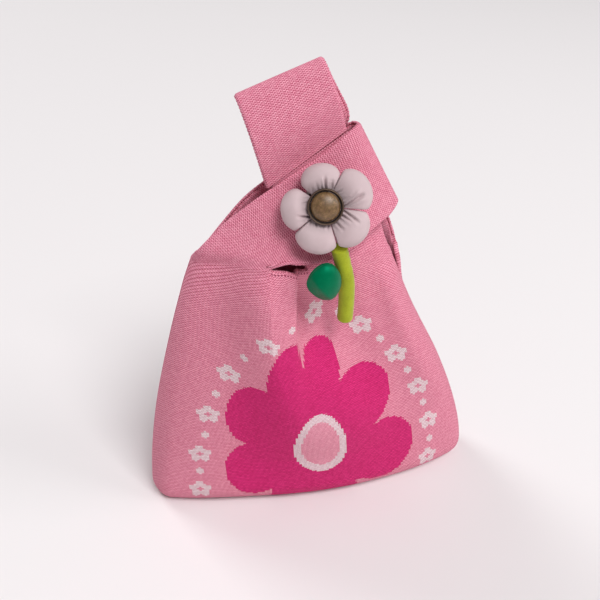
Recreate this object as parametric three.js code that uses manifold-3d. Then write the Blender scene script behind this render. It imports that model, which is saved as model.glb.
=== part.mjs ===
// Knitted knot bag with a pinned flower charm. Millimetres, +Z up, +X to the front's right, -Y to the front.
// Two shaped knitted panels are linked along the sides and the bottom. Each panel grows into two straps:
// the short handle crosses to the right and folds round the long handle, whose end stands up as a wrist loop.
import * as THREE from 'three';
import { mergeVertices } from 'three/addons/utils/BufferGeometryUtils.js';
import Module from 'manifold-3d';

const solids = await Module();
solids.setup();

// driving dimensions: knit
const KNIT = 3;                 // thickness of the knitted fabric
const SEAM_GAP = 0.3;           // room left between two pieces that touch
const SEAM_RADIUS = 1.2;        // linked seam, seen as a cord on the inside
const SEAM_END = 14;            // the side seams stop this far from the floor and from the shoulders
const SEAM_ROOM = 0.7;          // and keep this much more room to the walls at the shoulders
const BASE_SEAM_END = 18;       // the bottom seam stops this far from the corners
const FOLD_SEAM = 0.6;          // radius of the seams inside the two straps' folds

// driving dimensions: body
const BODY_HEIGHT = 190;        // floor to the shoulders
const BASE_HALF_WIDTH = 115;    // widest, just above the floor
const SHOULDER_LEFT = 82;       // left seam at shoulder height, left of the centre
const SHOULDER_RIGHT = 39;      // right seam at shoulder height, right of the centre
const FLANK = 12;               // half of the narrow side, front and back of the seam
const FLANK_TOP = 3;            // the same at the shoulders
const FRONT_CROWN = 30;         // how far the front swells beyond the flank
const BACK_CROWN = 28;
const TOP_CROWN = 14;           // swell left at the neck
const FRONT_FOLD = 17;          // height of the fold that the knot pulls up in front, at the neck slit
const FRONT_HOLLOW = 5;         // the front sinks in by this much to the right of that fold
const BACK_FOLD = 9;            // the same fold in the back, softer
const BASE_ROUND = 14;          // how far the rounding from wall to base reaches in
const BASE_SEAM = 4;            // the bottom seam runs this far behind the middle
const BASE_RISE = 17;           // and how high it starts
const BASE_TUCK = 3;            // the sides draw in by this much on the floor
const BASE_WIDEST = 12;         // height at which the base is widest
const SIDE_BULGE = 8;           // the left side bows out this much from a straight line
const BACK_SHOULDER = 5;        // the back's right shoulder stands out beyond the front's
const NECK_START = 0.34;        // share of the width where the short handle ends and the slit begins
const NECK_END = 0.48;          // share of the width where the slit's lower lip ends
const LEG_START = 0.55;         // share of the width where the long handle starts, behind the lip

// driving dimensions: handles and knot
const STRAP_WIDTH = 52;
const LEG_GAP = 4;              // between the two legs inside the knot
const LAYER_GAP = 0.7;          // between a leg and the short handle that wraps it
const KNOT_RISE = 61;           // hinge line of the wrist loop above the shoulders
const KNOT_X = -15;
const KNOT_LINE = 33.5;         // slope of the short handle's top edge, degrees
const LOOP_TILT = 17.6;         // the wrist loop leans to the left, degrees
const LOOP_HEIGHT = 42;         // hinge line to the top fold, at the middle
const LOOP_LEAN = 6;            // and leans back this far at the top
const LOOP_STEP = 2.6;          // its back leg stands this much to the right of the front one
const LOOP_SWELL = 9.5;         // half of the loop's depth where it is widest

// driving dimensions: flower charm
const PETALS = 5;
const PETAL_REACH = 26;         // centre to petal tip
const PETAL_ROOT = 4.6;         // petals are gathered to this radius
const PETAL_THICK = 14.4;
const PETAL_HALF_WIDTH = 12;
const PETAL_ROOM = 0.25;        // between a petal and the middle line to its neighbour
const BUTTON_RADIUS = 10;
const RIM_WIDTH = 1.6;
const DOME_HEIGHT = 4.4;
const RIM_DEPTH = 3;            // front to back
const RIM_RISE = 2.2;           // its middle, in front of the back of the button's plate
const UNDER_BUTTON = 3.9;       // the back of the plate, in front of the petals' middle plane
const PLATE_THICK = 1;
const SHANK_RADIUS = 1.8;
const SHANK_LENGTH = 1.9;
const THREAD_RADIUS = 1.4;
const BACKING_RADIUS = 12;
const BACKING_THICK = 1.3;
const BACKING_BACK = 5.5;       // the back of the felt, behind the petals' middle plane
const FLOWER_STANDOFF = 13;     // the petals' middle plane stands this far off the short handle's face
const PIN_LENGTH = 20;
const PIN_WIDTH = 4;
const PIN_SHEET = 0.8;
const PIN_HIGH = 7;             // the pin is sewn on this far above the flower's middle
const PIN_WIRE = 0.45;          // radius of the pin's wire
const WIRE_DROP = 1.9;          // the wire runs this far behind the bar
const EAR_DROP = 1.1;           // and the bar's ears reach this far behind the wire
const LOCK_RADIUS = 1.5;
const LOCK_LENGTH = 2.2;
const LOCK_TAB = 2.5;           // the lock's finger tab, out from the wire
const LOCK_TAB_THICK = 1;
const PINCH_LENGTH = 8;         // pinch of knit that the wire runs through
const PINCH_RADIUS = 1.5;
const PINCH_SPREAD = 0.8;       // wider by this much on each side at its foot
const PINCH_ROUND = 1.6;        // where its round top ends, behind the wire
const FLOWER_TILT = 24;         // faces up by this much, degrees
const FLOWER_TURN = 14;         // and to the left
const STEM_RADIUS = 4.7;
const STEM_LENGTH = 55;
const LEAF_WIDTH = 21.2;
const LEAF_HEIGHT = 25;
const LEAF_THICK = 12;
const LEAF_LEFT = 8.9;          // middle of the leaf, to the left of the stem's top
const LEAF_FRONT = 5.2;         // in front of it
const LEAF_DOWN = 21.7;         // and below it

// colours
const PINK = { color: 0xe58aa6, roughness: 0.95, metalness: 0 };
const SEAM_PINK = { color: 0xd9708f, roughness: 0.95, metalness: 0 };
const COTTON = { color: 0xe6d9da, roughness: 0.85, metalness: 0 };
const BRONZE = { color: 0x5f4c3c, roughness: 0.45, metalness: 0.8 };
const DOME_BROWN = { color: 0x8a6c49, roughness: 0.6, metalness: 0.1 };
const STEEL = { color: 0xb9bcc0, roughness: 0.3, metalness: 1 };
const LIME = { color: 0xb4c82a, roughness: 0.8, metalness: 0 };
const GREEN = { color: 0x0b7a4c, roughness: 0.5, metalness: 0 };
const FELT = { color: 0x2b2a2a, roughness: 0.95, metalness: 0 };

const V = (x, y, z) => new THREE.Vector3(x, y, z);
const radians = THREE.MathUtils.degToRad;
const mix = THREE.MathUtils.lerp;
const smooth = (t, a, b) => THREE.MathUtils.smoothstep(t, a, b);
const share = (i, n) => i / n;

// helpers

// Smooth curve through [position, value] pairs.
function profile(points, at) {
  const last = points.length - 1;
  if (at <= points[0][0]) return points[0][1];
  if (at >= points[last][0]) return points[last][1];
  let i = 0;
  while (points[i + 1][0] < at) i += 1;
  const slope = (k) => {
    const before = points[Math.max(k - 1, 0)];
    const after = points[Math.min(k + 1, last)];
    return (after[1] - before[1]) / (after[0] - before[0]);
  };
  const span = points[i + 1][0] - points[i][0];
  const t = (at - points[i][0]) / span;
  const h = t * t * (3 - 2 * t);
  const rise = span * (slope(i) * t * (1 - t) * (1 - t) - slope(i + 1) * t * t * (1 - t));
  return mix(points[i][1], points[i + 1][1], h) + rise;
}

function node(name, geometry, finish) {
  const mesh = new THREE.Mesh(geometry, new THREE.MeshStandardMaterial(finish));
  mesh.name = name;
  return mesh;
}

// Turns the faces round if they point inwards, and shares the vertices.
function closed(geometry) {
  const bare = geometry.index ? geometry.toNonIndexed() : geometry.clone();
  for (const name of Object.keys(bare.attributes)) {
    if (name !== 'position') bare.deleteAttribute(name);
  }
  const merged = mergeVertices(bare, 1e-4);
  const p = merged.attributes.position;
  const old = merged.index.array;
  const index = [];
  for (let i = 0; i < old.length; i += 3) {
    const [a, b, c] = [old[i], old[i + 1], old[i + 2]];
    if (a !== b && b !== c && c !== a) index.push(a, b, c);
  }
  const corner = (k) => V(p.getX(k), p.getY(k), p.getZ(k));
  let volume = 0;
  for (let i = 0; i < index.length; i += 3) {
    volume += corner(index[i]).dot(corner(index[i + 1]).cross(corner(index[i + 2])));
  }
  if (volume < 0) index.reverse();
  merged.setIndex(index);
  merged.computeVertexNormals();
  return merged;
}

function setPoints(geometry, points) {
  const flat = points.flatMap((p) => p.toArray());
  geometry.setAttribute('position', new THREE.Float32BufferAttribute(flat, 3));
}

// A sheet with thickness: outer(a, b) and inner(a, b) are its two faces, a and b from 0 to 1.
function sheet(outer, inner, across, along) {
  const points = [];
  const index = [];
  const row = along + 1;
  const layer = (across + 1) * row;
  for (const face of [outer, inner]) {
    for (let i = 0; i <= across; i += 1) {
      for (let j = 0; j <= along; j += 1) {
        points.push(face(share(i, across), share(j, along)));
      }
    }
  }
  const quad = (a, b, c, d) => index.push(a, b, c, a, c, d);
  for (let i = 0; i < across; i += 1) {
    for (let j = 0; j < along; j += 1) {
      const a = i * row + j;
      quad(a, a + row, a + row + 1, a + 1);
      quad(layer + a, layer + a + 1, layer + a + row + 1, layer + a + row);
    }
  }
  for (let i = 0; i < across; i += 1) {
    const [a, b] = [i * row, (i + 1) * row];
    quad(a, layer + a, layer + b, b);
    quad(a + along, b + along, layer + b + along, layer + a + along);
  }
  for (let j = 0; j < along; j += 1) {
    const end = across * row;
    quad(j, j + 1, layer + j + 1, layer + j);
    quad(end + j, layer + end + j, layer + end + j + 1, end + j + 1);
  }
  const geometry = new THREE.BufferGeometry();
  setPoints(geometry, points);
  geometry.setIndex(index);
  return closed(geometry);
}

// Closed lofted form: ring(t, angle) for t from 0 to 1, with a pole at each end.
function loft(ring, rings, sides) {
  const points = [ring(0, 0)];
  for (let i = 1; i < rings; i += 1) {
    for (let k = 0; k < sides; k += 1) {
      points.push(ring(share(i, rings), (2 * Math.PI * k) / sides));
    }
  }
  points.push(ring(1, 0));
  const index = [];
  const at = (i, k) => 1 + (i - 1) * sides + (k % sides);
  for (let k = 0; k < sides; k += 1) {
    index.push(0, at(1, k + 1), at(1, k));
    index.push(points.length - 1, at(rings - 1, k), at(rings - 1, k + 1));
    for (let i = 1; i < rings - 1; i += 1) {
      index.push(at(i, k), at(i, k + 1), at(i + 1, k + 1));
      index.push(at(i, k), at(i + 1, k + 1), at(i + 1, k));
    }
  }
  const geometry = new THREE.BufferGeometry();
  setPoints(geometry, points);
  geometry.setIndex(index);
  return closed(geometry);
}

// Round cord along a list of points.
function cord(points, radius, steps, sides = 6) {
  const section = new THREE.Shape();
  section.absarc(0, 0, radius, 0, 2 * Math.PI);
  const geometry = new THREE.ExtrudeGeometry(section, {
    steps,
    curveSegments: sides,
    bevelEnabled: false,
    extrudePath: new THREE.CatmullRomCurve3(points, false, 'centripetal'),
  });
  return closed(geometry);
}

// Turned form about local Z, from a profile of [radius, height] points that starts and ends on the axis,
// or that closes on itself.
function turned(outline, sides) {
  const lathe = new THREE.LatheGeometry(outline.map(([r, h]) => new THREE.Vector2(r, h)), sides);
  lathe.rotateX(Math.PI / 2);
  return closed(lathe);
}

// body: the two panels
const SEAM_LEFT = [
  [0, BASE_HALF_WIDTH - BASE_TUCK],
  [BASE_WIDEST, BASE_HALF_WIDTH],
  [BODY_HEIGHT * 0.33, mix(BASE_HALF_WIDTH, SHOULDER_LEFT, 0.33) + SIDE_BULGE * 0.7],
  [BODY_HEIGHT * 0.69, mix(BASE_HALF_WIDTH, SHOULDER_LEFT, 0.69) + SIDE_BULGE * 0.5],
  [BODY_HEIGHT, SHOULDER_LEFT],
];
const SEAM_RIGHT = [
  [0, BASE_HALF_WIDTH - BASE_TUCK],
  [BASE_WIDEST, BASE_HALF_WIDTH],
  [BODY_HEIGHT * 0.24, mix(BASE_HALF_WIDTH, SHOULDER_RIGHT, 0.11)],
  [BODY_HEIGHT * 0.47, mix(BASE_HALF_WIDTH, SHOULDER_RIGHT, 0.35)],
  [BODY_HEIGHT * 0.75, mix(BASE_HALF_WIDTH, SHOULDER_RIGHT, 0.72)],
  [BODY_HEIGHT, SHOULDER_RIGHT],
];
const seamLeft = (z) => -profile(SEAM_LEFT, z);
const seamRight = (z) => profile(SEAM_RIGHT, z);
const rise = (z) => z / BODY_HEIGHT;
const flank = (z) => mix(FLANK, FLANK_TOP, smooth(rise(z), 0.3, 1));
const seamY = (z) => flank(z) - FLANK;      // the front crease stays in one plane
const KNOT_Y = FLANK_TOP - FLANK;

// Top edge of a panel, from the left seam to the right one, as shares of the body's height.
const TOP_EDGE = [
  [0, 0.995],
  [NECK_START * 0.5, 1.0105],
  [NECK_START, 1.0158],
  [NECK_END, 0.989],
  [LEG_START, 0.958],
  [1, 0.937],
];
const topEdge = (s) => BODY_HEIGHT * profile(TOP_EDGE, s);

// The front fold leans to the right: a broad slope low down, a steep drop beside the slit. By share of the
// height: its crest, the middle of its drop, how far the drop reaches to each side, and how much there is.
const FOLD_CREST = [[0.2, 0.5], [0.32, 0.46], [0.45, 0.4], [0.63, 0.355], [0.8, 0.345], [1, 0.37]];
const FOLD_DROP = [[0.3, 0.62], [0.63, 0.49], [0.8, 0.47], [1, 0.488]];
const FOLD_REACH = [[0.3, 0.25], [0.63, 0.1], [0.8, 0.03], [1, 0.007]];
const FOLD_RISE = [[0.22, 0], [0.45, 0.294], [0.63, 0.588], [0.8, 0.824], [1, 1]];
const HOLLOW_AT = [[0.3, 0.66], [0.63, 0.6], [0.85, 0.55], [1, 0.55]];
const HOLLOW_DEPTH = [[0.2, 0], [0.45, 0.6], [0.65, 1], [0.85, 0.6], [1, 0]];
function frontFold(s, high) {
  const crest = profile(FOLD_CREST, high);
  const drop = profile(FOLD_DROP, high);
  const reach = profile(FOLD_REACH, high);
  const rising = Math.exp(-((Math.min(s - crest, 0) / 0.24) ** 2));
  const sloping = 1 - 0.15 * THREE.MathUtils.clamp((s - crest) / (drop - crest), 0, 1);
  const left = 1 - smooth(s, drop - reach, drop + reach);
  const hollow = profile(HOLLOW_DEPTH, high) * Math.exp(-(((s - profile(HOLLOW_AT, high)) / 0.13) ** 2));
  return FRONT_FOLD * profile(FOLD_RISE, high) * rising * sloping * left - FRONT_HOLLOW * hollow;
}

function backFold(s, high) {
  const crest = mix(0.5, 0.44, smooth(high, 0.5, 1));
  const falling = s < crest ? 0.24 : mix(0.26, 0.055, smooth(high, 0.45, 0.95));
  return BACK_FOLD * smooth(high, 0.42, 1) * Math.exp(-(((s - crest) / falling) ** 2));
}

// Distance of the outer face from the seam line, at share s of the width and height z.
function swell(side, s, z) {
  const near = Math.min(s, 1 - s) / 0.045;
  const corner = near < 1 ? Math.sqrt(1 - (1 - near) ** 2) : 1;
  const front = side < 0;
  const low = front ? 24 / 30 : 23 / 28;
  const full = front ? FRONT_CROWN : BACK_CROWN;
  const crown = profile([
    [0, full * low],
    [0.12, full * 0.86],
    [0.42, full],
    [0.74, mix(full, TOP_CROWN, 0.5)],
    [1, TOP_CROWN],
  ], rise(z));
  const lean = front ? 0.2 * (1 - rise(z)) : 0;
  const bow = (4 * s * (1 - s)) ** 0.7 * (1 + lean * (2 * s - 1));
  const fold = front ? frontFold(s, rise(z)) : backFold(s, rise(z));
  return flank(z) * corner + crown * bow + fold;
}

// Point of a panel's face. side is -1 for the front and 1 for the back. w runs from the bottom seam (0)
// over the base and its turn to the top edge (1). inset is 0 for the outer face, KNIT for the inner one.
const BASE_SHARE = 0.16;
const TURN_SHARE = 0.34;
function panelPoint(side, s, w, inset) {
  const place = (z, depth) => {
    const wide = side > 0 ? BACK_SHOULDER * smooth(rise(z), 0.8, 0.95) * s ** 4 : 0;
    const x = mix(seamLeft(z) + inset, seamRight(z) + wide - inset, s);
    return V(x, seamY(z) + side * Math.max(depth - inset, SEAM_GAP / 2), Math.max(z, inset));
  };
  const wall = swell(side, s, BASE_RISE);
  const turn = Math.min(BASE_ROUND, wall * 0.5);
  if (w < BASE_SHARE) {
    const depth = (wall - turn) * (w / BASE_SHARE);
    const flat = place(0, depth + inset);
    flat.y += BASE_SEAM * (1 - w / BASE_SHARE);
    return flat;
  }
  if (w < TURN_SHARE) {
    const a = ((w - BASE_SHARE) / (TURN_SHARE - BASE_SHARE)) * Math.PI / 2;
    const base = wall - turn;
    const z = (BASE_RISE - inset) * (1 - Math.cos(a)) + inset;
    const depth = base + (turn - inset) * Math.sin(a) + inset;
    return place(z, depth);
  }
  const z = mix(BASE_RISE, topEdge(s), (w - TURN_SHARE) / (1 - TURN_SHARE));
  return place(z, swell(side, s, z));
}

// Columns lie closer together where the side turns and where the fold drops.
const COLUMNS = [
  0, 0.012, 0.035, 0.07, 0.115, 0.16, 0.205, 0.25, 0.295, 0.34, 0.38, 0.41, 0.44, 0.46, 0.478, 0.488,
  0.498, 0.515, 0.55, 0.595, 0.64, 0.685, 0.73, 0.775, 0.82, 0.865, 0.91, 0.95, 0.985, 1,
];
function panel(name, side) {
  const cells = COLUMNS.length - 1;
  const column = (a) => COLUMNS[Math.round(a * cells)];
  const outer = (a, w) => panelPoint(side, column(a), w, 0);
  const inner = (a, w) => panelPoint(side, column(a), w, KNIT);
  return node(name, sheet(outer, inner, cells, 20), PINK);
}

// straps
const KNOT_Z = BODY_HEIGHT + KNOT_RISE;
const LEG_OUT = LEG_GAP / 2 + KNIT;              // outer face of a leg, from the knot's middle plane
const WRAP_OUT = LEG_OUT + LAYER_GAP + KNIT;     // outer face of the short handle there

// A strap's outer face from a list of rows. Each row has its middle, from the knot (x as a share of the
// strap's width, z of the knot's rise), the slope in degrees of the line across the strap, how far its two
// edges stand out from the knot's middle plane, and its share of the strap's width.
function strapFace(rows, anchor) {
  const edge = (r, end) => {
    const width = STRAP_WIDTH * r.wide;
    const half = Math.sqrt(Math.max(width ** 2 - (r.out[1] - r.out[0]) ** 2, 1)) / 2;
    const along = end ? half : -half;
    return V(
      KNOT_X + r.x * STRAP_WIDTH + along * Math.cos(radians(r.slope)),
      KNOT_Y + r.out[end],
      KNOT_Z + r.z * KNOT_RISE + along * Math.sin(radians(r.slope)),
    );
  };
  const upper = new THREE.CatmullRomCurve3(rows.map((r) => edge(r, 0)));
  const lower = new THREE.CatmullRomCurve3(rows.map((r) => edge(r, 1)));
  const plain = (q, t) => upper.getPoint(t).lerp(lower.getPoint(t), q);
  return (q, t) => {
    const p = plain(q, t);
    for (const { end, face, reach } of anchor) {
      const away = Math.abs(t - end);
      const pull = 1 - smooth(away, 0, reach);
      p.addScaledVector(face(q).sub(plain(q, end)), pull);
    }
    return p;
  };
}

// Moves a face inwards by the knit's thickness, along its own normal.
function under(face, sign, depth = KNIT) {
  const step = 1e-3;
  return (q, t) => {
    const [q0, q1] = [Math.max(q - step, 0), Math.min(q + step, 1)];
    const [t0, t1] = [Math.max(t - step, 0), Math.min(t + step, 1)];
    const normal = face(q1, t).sub(face(q0, t)).cross(face(q, t1).sub(face(q, t0))).normalize();
    return face(q, t).addScaledVector(normal, sign * depth);
  };
}

// The inner face meets the panel's own inner edge where the strap grows out of the panel.
function insideOf(face, sign, anchor) {
  const plain = under(face, sign);
  return (q, t) => {
    const p = plain(q, t);
    for (const { end, inner, reach } of anchor) {
      p.addScaledVector(inner(q).sub(plain(q, end)), 1 - smooth(Math.abs(t - end), 0, reach));
    }
    return p;
  };
}

const lifted = (side, s, inset = 0) => panelPoint(side, s, 1, inset).add(V(0, 0, SEAM_GAP));

// Short handle: from the front left shoulder across to the right, round the fold and back to the left.
const WRAP = WRAP_OUT;
const ahead = (share) => -WRAP - share * FRONT_CROWN;
const behind = (share) => WRAP + share * BACK_CROWN;
const SHORT_ROWS = [
  { x: -0.875, z: -0.951, slope: 9, out: [ahead(-0.233), ahead(0.8)], wide: 0.92 },
  { x: -0.75, z: -0.857, slope: -4.7, out: [ahead(0), ahead(0.783)], wide: 0.96 },
  { x: -0.548, z: -0.774, slope: -19.5, out: [ahead(0), ahead(0.733)], wide: 0.97 },
  { x: -0.24, z: -0.674, slope: -40.5, out: [ahead(0), ahead(0.65)], wide: 0.99 },
  { x: 0.096, z: -0.562, slope: -55, out: [ahead(0), ahead(0.533)], wide: 1.06 },
  { x: 0.394, z: -0.416, slope: -65.4, out: [ahead(0), ahead(0.367)], wide: 1.08 },
  { x: 0.635, z: -0.292, slope: -68, out: [ahead(0), ahead(0.167)], wide: 1.13 },
  { x: 0.804, z: -0.234, slope: -66.5, out: [ahead(-0.083), ahead(-0.067)], wide: 1.18 },
  { x: 0.894, z: -0.197, slope: -61.2, out: [0, 0], wide: 1.12 },
  { x: 0.817, z: -0.246, slope: -66.5, out: [behind(-0.061), behind(-0.036)], wide: 1.13 },
  { x: 0.635, z: -0.318, slope: -67, out: [behind(0), behind(0.107)], wide: 1.1 },
  { x: 0.365, z: -0.449, slope: -65, out: [behind(0), behind(0.214)], wide: 1.06 },
  { x: 0.058, z: -0.598, slope: -57, out: [behind(0), behind(0.321)], wide: 1.02 },
  { x: -0.269, z: -0.73, slope: -43, out: [behind(0), behind(0.393)], wide: 0.92 },
  { x: -0.538, z: -0.852, slope: -18, out: [behind(0), behind(0.5)], wide: 0.8 },
  { x: -0.721, z: -0.926, slope: 2, out: [behind(-0.107), behind(0.571)], wide: 0.85 },
  { x: -0.875, z: -0.959, slope: 9, out: [behind(-0.25), behind(0.607)], wide: 0.88 },
];
const shortAnchor = [-1, 1].map((side) => ({
  end: side < 0 ? 0 : 1,
  face: (q) => lifted(side, q * NECK_START),
  inner: (q) => lifted(side, q * NECK_START, KNIT),
  reach: 0.14,
}));
const shortFace = strapFace(SHORT_ROWS, shortAnchor);
const shortInner = insideOf(shortFace, -1, shortAnchor);

// One half of the short handle, cut at the fold in the knot's middle plane.
function shortHalf(face, side) {
  return (q, t) => {
    const p = face(q, side < 0 ? 0.5 * t : mix(1, 0.5, t));
    if (t === 1) p.y = KNOT_Y + side * SEAM_GAP / 2;
    return p;
  };
}

const LEG_DROP = LEG_OUT + 0.2;                  // leg's upper end, below the wrist loop's hinge line
// Legs of the long handle, from a panel's right half up to the hinge line of the wrist loop.
function legRows(side) {
  const out = (knits) => side * (LEG_OUT + knits * KNIT);
  const top = {
    x: (LEG_DROP * Math.sin(radians(KNOT_LINE))) / STRAP_WIDTH,
    z: (-LEG_DROP * Math.cos(radians(KNOT_LINE))) / KNOT_RISE,
    slope: KNOT_LINE,
    out: [out(0), out(0)],
    wide: 1,
  };
  if (side > 0) {
    return [
      { x: 0.606, z: -1.148, slope: -5.5, out: [out(4), out(-1)], wide: 1.3 },
      { x: 0.519, z: -0.861, slope: -6.6, out: [out(1.33), out(-0.5)], wide: 1.28 },
      { x: 0.352, z: -0.574, slope: -2, out: [out(0.17), out(0)], wide: 1.12 },
      { x: 0.183, z: -0.303, slope: 7.7, out: [out(0), out(0)], wide: 1.02 },
      top,
    ];
  }
  return [
    { x: 0.552, z: -1.148, slope: -5.5, out: [out(4), out(-1)], wide: 1.2 },
    { x: 0.427, z: -0.861, slope: -6.6, out: [out(2.5), out(-0.5)], wide: 1.16 },
    { x: 0.298, z: -0.574, slope: -2, out: [out(1.17), out(0)], wide: 1.09 },
    { x: 0.173, z: -0.303, slope: 7.7, out: [out(0), out(0)], wide: 1.01 },
    top,
  ];
}
const legAnchor = (side) => [{
  end: 0,
  face: (q) => lifted(side, mix(LEG_START, 1, q)),
  inner: (q) => lifted(side, mix(LEG_START, 1, q), KNIT),
  reach: 0.35,
}];
function leg(name, side) {
  const face = strapFace(legRows(side), legAnchor(side));
  return node(name, sheet(face, insideOf(face, side, legAnchor(side)), 6, 8), PINK);
}

// wrist loop
const HINGE = V(Math.cos(radians(KNOT_LINE)), 0, Math.sin(radians(KNOT_LINE)));
const loopUp = V(-Math.sin(radians(LOOP_TILT)), 0, Math.cos(radians(LOOP_TILT)));
const loopAcross = V(Math.cos(radians(LOOP_TILT + 3)), 0, Math.sin(radians(LOOP_TILT + 3)));

// Half of the section through the loop: share of the height, and depth from the middle.
const NOSE = 0.02;
const LOOP_SECTION = [
  [-NOSE, LEG_OUT],
  [0.2, mix(LEG_OUT, LOOP_SWELL, 0.5)],
  [0.45, LOOP_SWELL],
  [0.7, LOOP_SWELL * 0.97],
  [0.88, LOOP_SWELL * 0.72],
  [0.97, LOOP_SWELL * 0.38],
  [1, 0],
];
const loopLine = new THREE.CatmullRomCurve3([
  ...LOOP_SECTION.map(([k, d]) => V(-d, k * LOOP_HEIGHT, 0)),
  ...LOOP_SECTION.slice(0, -1).reverse().map(([k, d]) => V(d, k * LOOP_HEIGHT, 0)),
]);

function loopPoint(q, t, inset) {
  const at = loopLine.getPoint(t);
  const heading = loopLine.getTangent(t);
  at.add(V(heading.y, -heading.x, 0).multiplyScalar(inset));
  if (inset > 0 && (t === 0 || t === 1)) at.y = -Math.sqrt(Math.max((LEG_OUT + 0.08) ** 2 - at.x ** 2, 0));
  const k = at.y / LOOP_HEIGHT;
  const half = STRAP_WIDTH / 2;
  const footWidth = STRAP_WIDTH / Math.cos(radians(KNOT_LINE - LOOP_TILT));
  const foot = HINGE.clone().multiplyScalar((q - 0.5) * footWidth);
  const top = loopUp.clone().multiplyScalar(LOOP_HEIGHT);
  top.addScaledVector(loopAcross, (2 * q - 1) * half * 0.985);
  const p = foot.lerp(top, k);
  const aside = LOOP_STEP * smooth(at.x, -1, 3) * (1 - k) * smooth(k, -0.1, 0.25);
  return V(KNOT_X + p.x + aside, KNOT_Y + at.x + LOOP_LEAN * Math.max(k, 0) ** 1.5, KNOT_Z + p.z);
}

// seams and edges
function sideSeam(name, side) {
  const form = (t, a) => {
    const z = mix(SEAM_END, BODY_HEIGHT - SEAM_END, t);
    const tight = smooth(rise(z), 0.45, 0.9);       // the panels close in on the seam towards the shoulder
    const radius = SEAM_RADIUS * mix(1, 0.6, tight) * Math.min(1, 12 * t, 12 * (1 - t));
    const inside = KNIT + SEAM_RADIUS + SEAM_GAP + SEAM_ROOM * tight;
    const x = side < 0 ? seamLeft(z) + inside : seamRight(z) - inside;
    return V(x + radius * Math.cos(a), seamY(z) + radius * Math.sin(a), z);
  };
  return node(name, loft(form, 18, 6), SEAM_PINK);
}

function bottomSeam() {
  const reach = BASE_HALF_WIDTH - BASE_SEAM_END;
  const z = KNIT + SEAM_RADIUS + SEAM_GAP;
  const line = [-reach, 0, reach].map((x) => V(x, BASE_SEAM, z));
  return node('bottom_seam', cord(line, SEAM_RADIUS, 8), SEAM_PINK);
}

// Where the two halves of a strap are linked, the seam lies inside the fold.
function foldSeam(name, at) {
  const points = [0.06, 0.35, 0.65, 0.94].map(at);
  return node(name, cord(points, FOLD_SEAM, 6), SEAM_PINK);
}

function shortSeamAt(q) {
  const p = shortInner(q, 0.5);
  p.x -= 2 * FOLD_SEAM + 2 * SEAM_GAP;
  p.y = KNOT_Y;
  return p;
}

// flower charm
// Each petal's direction in degrees, and its reach and width as shares of the common ones.
const PETAL_SHAPES = [
  { turn: 100, reach: 0.91, wide: 0.92 },
  { turn: 29, reach: 1.06, wide: 1.05 },
  { turn: -38, reach: 1.08, wide: 1 },
  { turn: -104, reach: 1.02, wide: 1.01 },
  { turn: -172, reach: 0.93, wide: 0.97 },
];
// Half of the angle from one petal to the next one clockwise.
function halfGap(i) {
  const from = PETAL_SHAPES[(i + PETALS) % PETALS].turn;
  const to = PETAL_SHAPES[(i + 1) % PETALS].turn;
  return radians(((from - to + 360) % 360) / 2);
}

// Puff of a petal along its length, in front and at the back, as a share of half its thickness.
const PETAL_FRONT = [
  [0, 0.3], [0.14, 0.42], [0.27, 0.56], [0.5, 0.95], [0.66, 1], [0.85, 0.78], [0.95, 0.46], [1, 0],
];
const PETAL_BACK = [[0, 0.3], [0.3, 0.48], [0.6, 0.72], [0.85, 0.6], [0.95, 0.36], [1, 0]];
function petal(name, i) {
  const shape = PETAL_SHAPES[i];
  const far = PETAL_REACH * shape.reach;
  const form = (t, a) => {
    const r = mix(PETAL_ROOT, far, (1 - Math.cos(Math.PI * t)) / 2);
    const near = (r - PETAL_ROOT) / (far - PETAL_ROOT);
    const c = Math.cos(a);
    const s = Math.sin(a);
    const beside = r * Math.tan(halfGap(c > 0 ? i - 1 : i));
    const rounded = Math.sqrt(Math.max(1 - Math.max((near - 0.52) / 0.48, 0) ** 2, 0));
    const open = smooth(near, -0.12, 0.2);
    const half = (Math.min(beside, PETAL_HALF_WIDTH * shape.wide) - PETAL_ROOM) * rounded * open;
    const puff = (PETAL_THICK / 2) * profile(s > 0 ? PETAL_FRONT : PETAL_BACK, near) * open;
    return V(r, half * Math.sign(c) * Math.abs(c) ** 0.9, puff * Math.sign(s) * Math.abs(s) ** 0.9);
  };
  const mesh = node(name, loft(form, 12, 12), COTTON);
  mesh.rotation.z = radians(shape.turn);
  return mesh;
}

function buttonPieces() {
  const dome = [];
  const domeRadius = BUTTON_RADIUS - RIM_WIDTH - SEAM_GAP;
  for (let i = 0; i <= 6; i += 1) {
    const a = (i / 6) * Math.PI / 2;
    dome.push([domeRadius * Math.cos(a), DOME_HEIGHT * Math.sin(a)]);
  }
  const rim = [];
  for (let i = 0; i <= 10; i += 1) {
    const a = (i / 10) * 2 * Math.PI;
    const out = BUTTON_RADIUS - RIM_WIDTH / 2 + (RIM_WIDTH / 2) * Math.cos(a);
    rim.push([out, (RIM_DEPTH / 2) * Math.sin(a)]);
  }
  const backRadius = BUTTON_RADIUS - RIM_WIDTH - SEAM_GAP;
  const shell = node('button_dome', turned([[0, 0], ...dome], 24), DOME_BROWN);
  shell.position.z = UNDER_BUTTON + PLATE_THICK + SEAM_GAP;
  const ring = node('button_rim', turned(rim, 24), BRONZE);
  ring.position.z = UNDER_BUTTON + RIM_RISE;
  const shank = [
    [0, -SHANK_LENGTH],
    [SHANK_RADIUS, -SHANK_LENGTH],
    [SHANK_RADIUS, 0],
    [backRadius, 0],
    [backRadius, PLATE_THICK],
    [0, PLATE_THICK],
  ];
  const back = node('button_back', turned(shank, 24), BRONZE);
  back.position.z = UNDER_BUTTON;
  return [shell, ring, back];
}

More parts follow.
